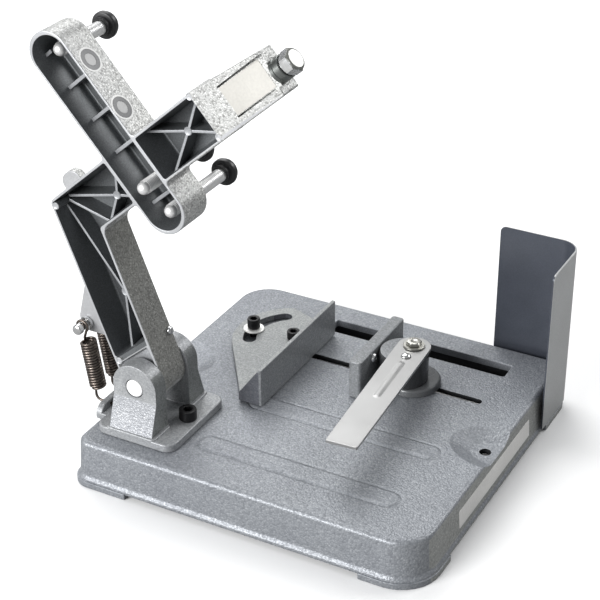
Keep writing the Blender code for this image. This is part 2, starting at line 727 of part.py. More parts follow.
def build_bracket():
    half = EAR_OUTER + EAR_FLARE + BRACKET_EDGE
    outline = rounded(rectangle(BRACKET_BACK_X, BRACKET_FRONT_X, BRACKET_Y - half, BRACKET_Y + half),
                      BRACKET_CORNER)
    bracket = prism("pivot_bracket", outline, SEAT, BRACKET_TOP)
    ear_half = EAR_WIDTH / 2
    plate_middle = SEAT + BRACKET_PLATE / 2
    side_outline = rounded([(PIN_X - ear_half, plate_middle), (PIN_X + ear_half, plate_middle),
                            (PIN_X + ear_half, PIN_Z + ear_half), (PIN_X - ear_half, PIN_Z + ear_half)],
                           [0, 0, ear_half * 0.99, ear_half * 0.99])
    for side, name in ((-1, "near"), (1, "far")):
        inner = BRACKET_Y + side * EAR_INNER
        outer = BRACKET_Y + side * EAR_OUTER
        flare = outer + side * EAR_FLARE
        low, high = sorted((inner, flare + side * FIT))
        ear = prism("ear_" + name, side_outline, low, high, upright=True)
        bend = BRACKET_TOP + EAR_FLARE_HEIGHT
        top = PIN_Z + EAR_WIDTH
        section = [(inner - side * EAR_THICK, SEAT), (flare, SEAT), (flare, BRACKET_TOP),
                   (outer, bend), (outer, top), (inner - side * EAR_THICK, top)]
        depth = prism("ear_section_" + name, section, -EAR_WIDTH, EAR_WIDTH)
        depth.matrix_parent_inverse = depth.matrix_parent_inverse @ Matrix.Translation((PIN_X, 0, 0))
        depth.data.transform(Matrix(((0, 0, 1, 0), (1, 0, 0, 0), (0, 1, 0, 0), (0, 0, 0, 1))))
        boolean(ear, depth, "INTERSECT")
        join(bracket, ear)
    tab_outer = TAB_SETBACK - BASE_HALF_X
    tab_half = TAB_WIDTH / 2
    tongue = box("tab_tongue", (tab_outer + TAB_THICK / 2, BRACKET_Y - tab_half, SEAT),
                 (BRACKET_BACK_X + BRACKET_CORNER / 2, BRACKET_Y + tab_half, BRACKET_TOP - FIT))
    join(bracket, tongue)
    tab_top = SEAT + TAB_HEIGHT
    tab_outline = rounded([(BRACKET_Y - tab_half, SEAT), (BRACKET_Y + tab_half, SEAT),
                           (BRACKET_Y + tab_half, tab_top), (BRACKET_Y - tab_half, tab_top)],
                          [0, 0, TAB_CORNER, TAB_CORNER])
    tab = prism("spring_tab", tab_outline, 0, TAB_THICK)
    tab.data.transform(Matrix(((0, 0, 1, tab_outer), (1, 0, 0, 0), (0, 1, 0, 0), (0, 0, 0, 1))))
    join(bracket, tab)
    reach = EAR_OUTER + EAR_FLARE
    cut(bracket, cylinder("bracket_bore", (PIN_X, BRACKET_Y - reach, PIN_Z),
                          (PIN_X, BRACKET_Y + reach, PIN_Z), PIN_RADIUS + FIT, 28))
    for name, place in bracket_screw_places().items():
        cut(bracket, cylinder("bracket_hole_" + name, (place.x, place.y, 0),
                              (place.x, place.y, BRACKET_TOP + BRACKET_PLATE), BRACKET_SHANK + FIT))
    for side in (-1, 1):
        y = BRACKET_Y + side * SPRING_SPREAD
        z = tab_top - TAB_HOLE_DROP
        cut(bracket, cylinder("tab_hole_%d" % side, (tab_outer - TAB_THICK, y, z),
                              (tab_outer + TAB_THICK * 2, y, z), TAB_HOLE_RADIUS, 16))
    make_part(bracket, STAND, HAMMERED)
    for name, place in bracket_screw_places().items():
        length = BRACKET_PLATE + BASE_TOP_WALL + NUT_HEIGHT + SCREW_TAIL + 3 * FIT
        cap_screw("bracket_screw_" + name, (place.x, place.y, BRACKET_TOP + FIT), BRACKET_HEAD_RADIUS,
                  BRACKET_HEAD_HEIGHT, BRACKET_SHANK, length, STAND)
        hex_nut("bracket_nut_" + name, (place.x, place.y, BASE_UNDER - FIT), (0, 0, -1),
                BRACKET_NUT_FLATS, NUT_HEIGHT, BRACKET_SHANK + FIT, STAND)
    half_pin = EAR_OUTER + FIT
    edge = 0.8 * MM
    profile = [(0, half_pin), (PIN_RADIUS - edge, half_pin), (PIN_RADIUS, half_pin - edge),
               (PIN_RADIUS, edge - half_pin), (PIN_RADIUS - edge, -half_pin), (0, -half_pin)]
    pin = turned("pivot_pin", profile, (PIN_X, BRACKET_Y, PIN_Z), (0, -1, 0), steps=28)
    make_part(pin, STAND, BRIGHT_STEEL)


def arm_outline():
    elbow = lines_meet(leg_point(0, -LEG_BACK), LEG_UP, upper_point(0, -UPPER_HALF), UPPER_OUT)
    crook = lines_meet(leg_point(0, LEG_FRONT), LEG_UP, upper_point(0, UPPER_HALF), UPPER_OUT)
    hub = (LEG_BACK + LEG_FRONT) / 2
    fillet = ARM_WALL
    end_round = TRAY_HALF * 0.99
    corners = [
        (leg_point(-hub, -LEG_BACK), hub * 0.99),
        (leg_point(-hub, LEG_FRONT), hub * 0.99),
        (crook, fillet * 3),
        (upper_point(-TRAY_HALF, UPPER_HALF), fillet),
        (upper_point(-TRAY_HALF, TRAY_DROP), end_round),
        (upper_point(TRAY_HALF, TRAY_DROP), end_round),
        (upper_point(TRAY_HALF, UPPER_HALF), fillet),
        (upper_point(END_REACH, UPPER_HALF), fillet / 3),
        (upper_point(END_REACH, -END_TOP), fillet / 3),
        (upper_point(END_START, -UPPER_HALF), fillet),
        (upper_point(TRAY_HALF, -UPPER_HALF), fillet),
        (upper_point(TRAY_HALF, -TRAY_RISE), end_round),
        (upper_point(-TRAY_HALF, -TRAY_RISE), end_round),
        (upper_point(-TRAY_HALF, -UPPER_HALF), fillet),
        (elbow, fillet * 1.5)]
    return rounded([corner for corner, radius in corners], [radius for corner, radius in corners])


def arm_pockets():
    inner = UPPER_HALF - ARM_WALL
    side = TRAY_HALF + ARM_WALL / 2
    tray = TRAY_HALF - ARM_WALL
    back = LEG_BACK - ARM_WALL
    front = LEG_FRONT - ARM_WALL
    tray_corners = [upper_point(-tray, TRAY_DROP - ARM_WALL), upper_point(tray, TRAY_DROP - ARM_WALL),
                    upper_point(tray, ARM_WALL - TRAY_RISE), upper_point(-tray, ARM_WALL - TRAY_RISE)]
    cell_corners = [upper_point(side, inner), upper_point(END_START - ARM_WALL, inner),
                    upper_point(END_START - ARM_WALL, -inner), upper_point(side, -inner)]
    elbow = lines_meet(leg_point(0, -back), LEG_UP, upper_point(0, -inner), UPPER_OUT)
    crook = lines_meet(leg_point(0, front), LEG_UP, upper_point(0, inner), UPPER_OUT)
    leg_corners = [leg_point(HUB_SOLID, -back), leg_point(HUB_SOLID, front), crook,
                   upper_point(-side, inner), upper_point(-side, -inner), elbow]
    return {"tray_pocket": rounded(tray_corners, tray * 0.99),
            "cell_pocket": rounded(cell_corners, ARM_WALL / 2),
            "leg_pocket": rounded(leg_corners, [2 * ARM_WALL, 2 * ARM_WALL, ARM_WALL, ARM_WALL / 2,
                                                ARM_WALL / 2, ARM_WALL / 2])}


def bar_outline(start, end, thick):
    """Outline of a straight bar between two points."""
    along = (end - start).normalized()
    across = Vector((-along.y, along.x)) * thick / 2
    return [start - across, end - across, end + across, start + across]


def arm_ribs():
    """Start and end of each stiffening rib inside the arm."""
    inner = UPPER_HALF - ARM_WALL / 2
    cell_start = TRAY_HALF + ARM_WALL / 4
    cell_end = END_START - ARM_WALL / 2
    cell_boss = upper_point((cell_start + cell_end) / 2 + ARM_WALL / 2, 0)
    left_boss = upper_point(LEFT_BOSS_ALONG, LEFT_BOSS_DOWN)
    elbow = lines_meet(leg_point(0, ARM_WALL / 2 - LEG_BACK), LEG_UP,
                       upper_point(0, -inner), UPPER_OUT)
    crook = lines_meet(leg_point(0, LEG_FRONT - ARM_WALL / 2), LEG_UP,
                       upper_point(0, inner), UPPER_OUT)
    leg_boss = leg_point(LEG_BOSS_ALONG, LEG_BOSS_SIDE)
    hub_wall = leg_point(HUB_SOLID - ARM_WALL / 2, HUB_RIB_SIDE)
    ribs = [(cell_boss, upper_point(cell_start, -inner)), (cell_boss, upper_point(cell_start, inner)),
            (cell_boss, upper_point(cell_end, -inner)), (cell_boss, upper_point(cell_end, inner)),
            (left_boss, elbow), (left_boss, crook),
            (left_boss, upper_point(-cell_start, -inner)), (left_boss, upper_point(-cell_start, inner)),
            (crook, elbow), (leg_boss, elbow), (leg_boss, hub_wall)]
    return ribs, (cell_boss, left_boss, leg_boss)


def build_arm():
    arm = prism("swing_arm", arm_outline(), ARM_FRONT, ARM_BACK, upright=True)
    above = ARM_FRONT - ARM_WALL
    for name, outline in arm_pockets().items():
        cut(arm, prism(name, outline, above, ARM_FLOOR_TOP, upright=True))
    step_outline = [upper_point(END_START + ARM_WALL, 2 * UPPER_HALF),
                    upper_point(END_REACH * 2, 2 * UPPER_HALF),
                    upper_point(END_REACH * 2, -2 * UPPER_HALF),
                    upper_point(END_START + ARM_WALL, -2 * UPPER_HALF)]
    step_back = ARM_BACK - END_BACK_STEP
    cut(arm, prism("end_step", step_outline, step_back, ARM_BACK + END_BACK_STEP, upright=True))
    inner = UPPER_HALF - ARM_WALL
    hollow = rounded([upper_point(END_START + 2 * ARM_WALL, inner),
                      upper_point(END_REACH - END_WALL, inner),
                      upper_point(END_REACH - END_WALL, ARM_WALL - END_TOP),
                      upper_point(END_START + 2 * ARM_WALL, ARM_WALL - END_TOP)], ARM_WALL / 2)
    cut(arm, prism("end_hollow", hollow, ARM_FRONT + END_SKIN, ARM_BACK, upright=True))
    label = [upper_point(LABEL_START, UPPER_HALF * 0.6),
             upper_point(END_REACH + LABEL_SINK, UPPER_HALF * 0.9),
             upper_point(END_REACH + LABEL_SINK, LABEL_SINK - END_TOP),
             upper_point(LABEL_START, -END_TOP)]
    cut(arm, prism("label_seat", label, above, ARM_FRONT + LABEL_SINK, upright=True))
    ribs, bosses = arm_ribs()
    floor_inside = ARM_BACK - ARM_FLOOR / 2
    for index, (start, end) in enumerate(ribs):
        join(arm, prism("rib_%d" % index, bar_outline(start, end, RIB_THICK),
                        ARM_FLOOR_TOP - RIB_HEIGHT, floor_inside, upright=True))
    for index, boss in enumerate(bosses):
        join(arm, cylinder("boss_%d" % index, in_space(boss, ARM_FLOOR_TOP - BOSS_HEIGHT),
                           in_space(boss, floor_inside), BOSS_RADIUS, 12))
    tray = TRAY_HALF - ARM_WALL / 2
    tray_ribs = [TRAY_RIB_FIRST + TRAY_RIB_PITCH * step for step in range(4)]
    tray_ribs.append((MIDDLE_STUD_PLACE + LOWER_STUD_PLACE) / 2)
    for index, down in enumerate(tray_ribs):
        reach = 2 * ARM_WALL - tray if abs(down - UPPER_STUD_PLACE) < ARM_WALL else tray
        outline = bar_outline(upper_point(-tray, down), upper_point(reach, down), RIB_THICK)
        join(arm, prism("tray_rib_%d" % index, outline, ARM_FLOOR_TOP - RIB_HEIGHT,
                        floor_inside, upright=True))
    post = leg_point(POST_ALONG, -LEG_BACK - POST_BEHIND)
    tip = POST_RADIUS * 1.8
    inside = ARM_WALL / 2 - LEG_BACK
    fin = [leg_point(POST_ALONG * 2, inside),
           leg_point(POST_ALONG + tip, -LEG_BACK - POST_BEHIND - tip),
           leg_point(POST_ALONG - tip, -LEG_BACK - POST_BEHIND - tip),
           leg_point(POST_ALONG - 3 * tip, inside)]
    half = FIN_THICK / 2
    join(arm, prism("spring_fin", rounded(fin, [0, tip * 0.8, tip * 0.8, 0]),
                    BRACKET_Y - half, BRACKET_Y + half, upright=True))
    lug_half = LUG_WIDTH / 2
    lug = [upper_point(LUG_PLACE - lug_half, -UPPER_HALF + ARM_WALL / 2),
           upper_point(LUG_PLACE + lug_half, -UPPER_HALF + ARM_WALL / 2),
           upper_point(LUG_PLACE + lug_half, -UPPER_HALF - LUG_RISE),
           upper_point(LUG_PLACE - lug_half, -UPPER_HALF - LUG_RISE)]
    join(arm, prism("arm_lug", rounded(lug, [0, 0, lug_half * 0.8, lug_half * 0.8]),
                    BRACKET_Y - half, BRACKET_Y + half, upright=True))
    cut(arm, cylinder("arm_bore", (PIN_X, ARM_FRONT - ARM_WALL, PIN_Z),
                      (PIN_X, ARM_BACK + ARM_WALL, PIN_Z), PIN_RADIUS + FIT, 28))
    cut(arm, cylinder("post_hole", in_space(post, BRACKET_Y - FIN_THICK),
                      in_space(post, BRACKET_Y + FIN_THICK), POST_RADIUS + FIT))
    slot_half = STUD_RADIUS + FIT
    slot_low = TRAY_SLOT_END + slot_half
    slot_high = TRAY_SLOT_TOP - slot_half
    slot = [upper_point(-slot_half, slot_low), upper_point(slot_half, slot_low),
            upper_point(slot_half, slot_high), upper_point(-slot_half, slot_high)]
    cut(arm, prism("tray_slot", rounded(slot, slot_half * 0.98), ARM_FLOOR_TOP - ARM_FLOOR,
                   ARM_BACK + ARM_FLOOR, upright=True))
    bolt_y = ARM_FRONT + GRINDER_BOLT_BEHIND_FRONT
    cut(arm, cylinder("grinder_bolt_hole",
                      in_space(upper_point(END_REACH - GRINDER_BOLT_GRIP - FIT, GRINDER_BOLT_DROP), bolt_y),
                      in_space(upper_point(END_REACH + END_WALL, GRINDER_BOLT_DROP), bolt_y),
                      GRINDER_BOLT_RADIUS + FIT))
    cut(arm, cylinder("spacer_spot_face",
                      in_space(upper_point(END_REACH - SPOT_SINK, GRINDER_BOLT_DROP), bolt_y),
                      in_space(upper_point(END_REACH + END_WALL, GRINDER_BOLT_DROP), bolt_y),
                      SPOT_RADIUS, 28))
    stop_y = ARM_BACK - STOP_FROM_BACK
    cut(arm, cylinder("stop_hole", in_space(leg_point(STOP_ALONG, LEG_FRONT - 2 * ARM_WALL), stop_y),
                      in_space(leg_point(STOP_ALONG, LEG_FRONT + ARM_WALL), stop_y), STOP_SHANK + FIT, 12))
    make_part(arm, ARM_PIVOT, CAST_PAINT)
    stop_seat = in_space(leg_point(STOP_ALONG, LEG_FRONT + FIT), stop_y)
    side = Vector((LEG_SIDE.x, 0, LEG_SIDE.y))
    stop_profile = [(0, STOP_HEAD), (STOP_HEAD_RADIUS * 0.7, STOP_HEAD), (STOP_HEAD_RADIUS, STOP_HEAD * 0.4),
                    (STOP_HEAD_RADIUS, 0), (STOP_SHANK, 0), (STOP_SHANK, -ARM_WALL), (0, -ARM_WALL)]
    make_part(turned("stop_screw", stop_profile, stop_seat, side, steps=16), ARM_PIVOT, ZINC)
    half_post = POST_LENGTH / 2
    post_profile = [(0, half_post), (POST_HEAD_RADIUS, half_post), (POST_HEAD_RADIUS, half_post - POST_HEAD),
                    (POST_RADIUS, half_post - POST_HEAD), (POST_RADIUS, POST_HEAD - half_post),
                    (POST_HEAD_RADIUS, POST_HEAD - half_post), (POST_HEAD_RADIUS, -half_post),
                    (0, -half_post)]
    make_part(turned("spring_post", post_profile, in_space(post, BRACKET_Y), (0, -1, 0), steps=16),
              ARM_PIVOT, ZINC)


def build_supports():
    """Three threaded supports through the slot in the tray, each with a knob."""
    places = {"upper": (UPPER_STUD_PLACE, UPPER_STUD_FRONT, UPPER_STUD_BACK),
              "middle": (MIDDLE_STUD_PLACE, MIDDLE_STUD_FRONT, MIDDLE_STUD_BACK),
              "lower": (LOWER_STUD_PLACE, LOWER_STUD_FRONT, LOWER_STUD_BACK)}
    for name, (down, front, back) in places.items():
        seat = in_space(upper_point(0, down), ARM_BACK)
        carrier = add_empty("stud_axis_" + name, seat, ARM_PIVOT)
        dome = [(STUD_RADIUS * math.sin(math.radians(22.5) * step),
                 front - STUD_RADIUS * 0.9 * (1 - math.cos(math.radians(22.5) * step))) for step in range(5)]
        stud = turned("support_stud_" + name, dome + [(STUD_RADIUS, -back), (0, -back)], seat, (0, -1, 0), 16)
        make_part(stud, carrier, ZINC)
        mouth = KNOB_BORE - FIT - back
        bore = STUD_RADIUS + FIT
        edge = KNOB_RADIUS * 0.15
        knob = [(0, mouth - KNOB_BORE), (bore, mouth - KNOB_BORE), (bore, mouth),
                (KNOB_COLLAR_RADIUS, mouth), (KNOB_COLLAR_RADIUS, mouth - KNOB_COLLAR),
                (KNOB_RADIUS - edge, mouth - KNOB_COLLAR), (KNOB_RADIUS, mouth - KNOB_COLLAR - edge),
                (KNOB_RADIUS, mouth - KNOB_LENGTH + 2 * edge),
                (KNOB_RADIUS - edge, mouth - KNOB_LENGTH + edge * 0.7),
                (KNOB_RADIUS * 0.5, mouth - KNOB_LENGTH), (0, mouth - KNOB_LENGTH)]
        make_part(turned("support_knob_" + name, knob, seat, (0, -1, 0)), carrier, BLACK_PLASTIC)
        hex_nut("stud_nut_" + name, seat + Vector((0, FIT, 0)), (0, 1, 0), STUD_NUT_FLATS,
                STUD_NUT_HEIGHT, STUD_RADIUS + FIT, ARM_PIVOT)


def build_grinder_bolt():
    out = Vector((UPPER_OUT.x, 0, UPPER_OUT.y))
    face = in_space(upper_point(END_REACH, GRINDER_BOLT_DROP), ARM_FRONT + GRINDER_BOLT_BEHIND_FRONT)
    bore = GRINDER_BOLT_RADIUS + FIT
    spacer_low = FIT - SPOT_SINK
    spacer_end = FIT + SPACER_LENGTH
    edge = 0.7 * MM
    ring = [(SPACER_RADIUS - edge, spacer_end), (SPACER_RADIUS, spacer_end - edge),
            (SPACER_RADIUS, spacer_low), (bore, spacer_low), (bore, spacer_end)]
    make_part(turned("bolt_spacer", ring, face, out, ring=True, steps=24), ARM_PIVOT, BLACK_OXIDE)
    head_start = spacer_end + FIT
    head = hexagon("grinder_bolt", face + out * head_start, face + out * (head_start + GRINDER_HEAD_HEIGHT),
                   GRINDER_HEAD_FLATS)
    shank = cylinder("grinder_bolt_shank", face - out * GRINDER_BOLT_GRIP,
                     face + out * (head_start + GRINDER_HEAD_HEIGHT / 2), GRINDER_BOLT_RADIUS)
    join(head, shank)
    make_part(head, ARM_PIVOT, ZINC)


def spring_path(y):
    """Middle line of a return spring, from its hook in the tab to its loop."""
    tab_outer = TAB_SETBACK - BASE_HALF_X
    hole = Vector((tab_outer + TAB_THICK / 2, SEAT + TAB_HEIGHT - TAB_HOLE_DROP))
    post = leg_point(POST_ALONG, -LEG_BACK - POST_BEHIND)
    wire = 2 * SPRING_WIRE_RADIUS
    turn = 3 * SPRING_WIRE_RADIUS
    knee = Vector((hole.x - SPRING_BACKSET + turn, hole.y + turn))
    path = [hole + Vector((TAB_THICK / 2 + 2 * wire, 0)), hole + Vector((TAB_THICK / 2 + wire, 0))]
    path += [knee + turn * Vector((-math.sin(angle), -math.cos(angle)))
             for angle in (0, math.pi / 6, math.pi / 3, math.pi / 2)]
    bottom = path[-1] + Vector((0, SPRING_COIL_START - turn))
    axis = (post - bottom).normalized()
    side = Vector((axis.y, -axis.x))
    top = post - axis * SPRING_LOOP_DROP
    points = [in_space(point, y) for point in path]
    total = SPRING_TURNS * SPRING_POINTS
    lead = SPRING_POINTS // 2
    for step in range(total + 1):
        spread = min(1, (step + 0.5) / lead, (total - step + 0.5) / lead)
        angle = 2 * math.pi * step / SPRING_POINTS
        centre = bottom + (top - bottom) * step / total
        reach = SPRING_COIL_RADIUS * spread
        place = centre + side * reach * math.cos(angle)
        points.append(in_space(place, y + reach * math.sin(angle)))
    loop = POST_RADIUS + SPRING_AIR + SPRING_WIRE_RADIUS
    points.append(in_space(top + axis * wire, y))
    for step in range(13):
        angle = math.radians(-55 + 24 * step)
        points.append(in_space(post + loop * (side * math.cos(angle) + axis * math.sin(angle)), y))
    last = points[-1] - points[-2]
    points.append(points[-1] + last.normalized() * wire)
    return points


def least_gap(points):
    """Smallest air between stretches of the wire that aren't neighbours."""
    fine = []
    for start, end in zip(points, points[1:]):
        fine += [start.lerp(end, part / 4) for part in range(4)]
    along = [0.0]
    for start, end in zip(fine, fine[1:]):
        along.append(along[-1] + (end - start).length)
    least = 1.0
    for index, point in enumerate(fine):
        for other in range(index + 1, len(fine)):
            if along[other] - along[index] > 8 * SPRING_WIRE_RADIUS:
                least = min(least, (fine[other] - point).length)
    return least - 2 * SPRING_WIRE_RADIUS


def build_springs():
    for name, side in (("near", -1), ("far", 1)):
        points = spring_path(BRACKET_Y + side * SPRING_SPREAD)
        curve = bpy.data.curves.new("return_spring_" + name, "CURVE")
        curve.dimensions = "3D"
        curve.bevel_depth = SPRING_WIRE_RADIUS
        curve.bevel_resolution = 1
        curve.use_fill_caps = True
        spline = curve.splines.new("POLY")
        spline.points.add(len(points) - 1)
        for knot, point in zip(spline.points, points):
            knot.co = (*point, 1)
        spring = add_shape("return_spring_" + name, curve)
        make_part(spring, STAND, BRIGHT_STEEL)
        print("least gap in return_spring_%s: %.2f mm" % (name, least_gap(points) / MM))


def build_fence():
    pivot = Vector((FENCE_PIVOT_X, FENCE_PIVOT_Y))
    margin = FENCE_SLOT_RADIUS + FENCE_SLOT_WIDTH / 2 + FENCE_SLOT_MARGIN
    toe = Vector((FENCE_X - FENCE_TOE, FENCE_START))
    gap = pivot - toe
    edge_angle = math.atan2(gap.y, gap.x) + math.asin(margin / gap.length)
    touch = edge_angle + math.pi / 2
    inside = FENCE_WALL / 2
    outline = [Vector((FENCE_X - inside, FENCE_START + inside)),
               Vector((FENCE_X - inside, FENCE_END - inside))]
    outline += arc(pivot, margin, math.radians(118), touch, 9)
    outline.append(toe + Vector((inside, inside)))
    fence = prism("fence", outline, FENCE_SEAT, FENCE_SEAT + FENCE_PLATE)
    top = FENCE_SEAT + FENCE_RISE
    join(fence, box("fence_wall", (FENCE_X - FENCE_WALL, FENCE_START, FENCE_SEAT), (FENCE_X, FENCE_END, top)))
    gusset = [Vector((FENCE_X - inside, FENCE_SEAT)), Vector((FENCE_X - inside, top - inside)),
              Vector((FENCE_X - FENCE_TOE, FENCE_SEAT + FENCE_PLATE + inside)),
              Vector((FENCE_X - FENCE_TOE, FENCE_SEAT))]
    join(fence, prism("fence_gusset", gusset, FENCE_START, FENCE_START + FENCE_WALL, upright=True))
    half = FENCE_SLOT_WIDTH / 2
    slot = arc(pivot, FENCE_SLOT_RADIUS + half, FENCE_SLOT_FIRST, FENCE_SLOT_LAST, 10)
    slot += arc(pivot + FENCE_SLOT_RADIUS * Vector((math.cos(FENCE_SLOT_LAST), math.sin(FENCE_SLOT_LAST))),
                half, FENCE_SLOT_LAST, FENCE_SLOT_LAST + math.pi, 6)[1:-1]
    slot += arc(pivot, FENCE_SLOT_RADIUS - half, FENCE_SLOT_LAST, FENCE_SLOT_FIRST, 10)
    slot += arc(pivot + FENCE_SLOT_RADIUS * Vector((math.cos(FENCE_SLOT_FIRST), math.sin(FENCE_SLOT_FIRST))),
                half, FENCE_SLOT_FIRST - math.pi, FENCE_SLOT_FIRST, 6)[1:-1]
    cut(fence, prism("fence_slot", slot, FENCE_SEAT - FENCE_PLATE, FENCE_SEAT + 2 * FENCE_PLATE))
    cut(fence, cylinder("fence_pivot_hole", (pivot.x, pivot.y, FENCE_SEAT - FENCE_PLATE),
                        (pivot.x, pivot.y, FENCE_SEAT + 2 * FENCE_PLATE), FENCE_SHANK + FIT))
    make_part(fence, FENCE_TURN, HAMMERED)
    plate_top = FENCE_SEAT + FENCE_PLATE
    clamp = fence_clamp_point()
    washer("fence_clamp_washer", (clamp.x, clamp.y, plate_top + FIT), FENCE_WASHER_RADIUS,
           FENCE_SHANK + FIT, FENCE_WASHER, STAND)
    length = FENCE_PLATE + BASE_TOP_WALL + NUT_HEIGHT + SCREW_TAIL + BEAD_RISE + 3 * FIT
    cap_screw("fence_clamp_screw", (clamp.x, clamp.y, plate_top + FENCE_WASHER + 2 * FIT), FENCE_HEAD_RADIUS,
              FENCE_HEAD_HEIGHT, FENCE_SHANK, length + FENCE_WASHER + FIT, STAND)
    cap_screw("fence_pivot_screw", (pivot.x, pivot.y, plate_top + FIT), FENCE_HEAD_RADIUS,
              FENCE_HEAD_HEIGHT, FENCE_SHANK, length, STAND)
    for name, place in (("clamp", clamp), ("pivot", pivot)):
        hex_nut("fence_nut_" + name, (place.x, place.y, BASE_UNDER - FIT), (0, 0, -1),
                FENCE_NUT_FLATS, NUT_HEIGHT, FENCE_SHANK + FIT, STAND)


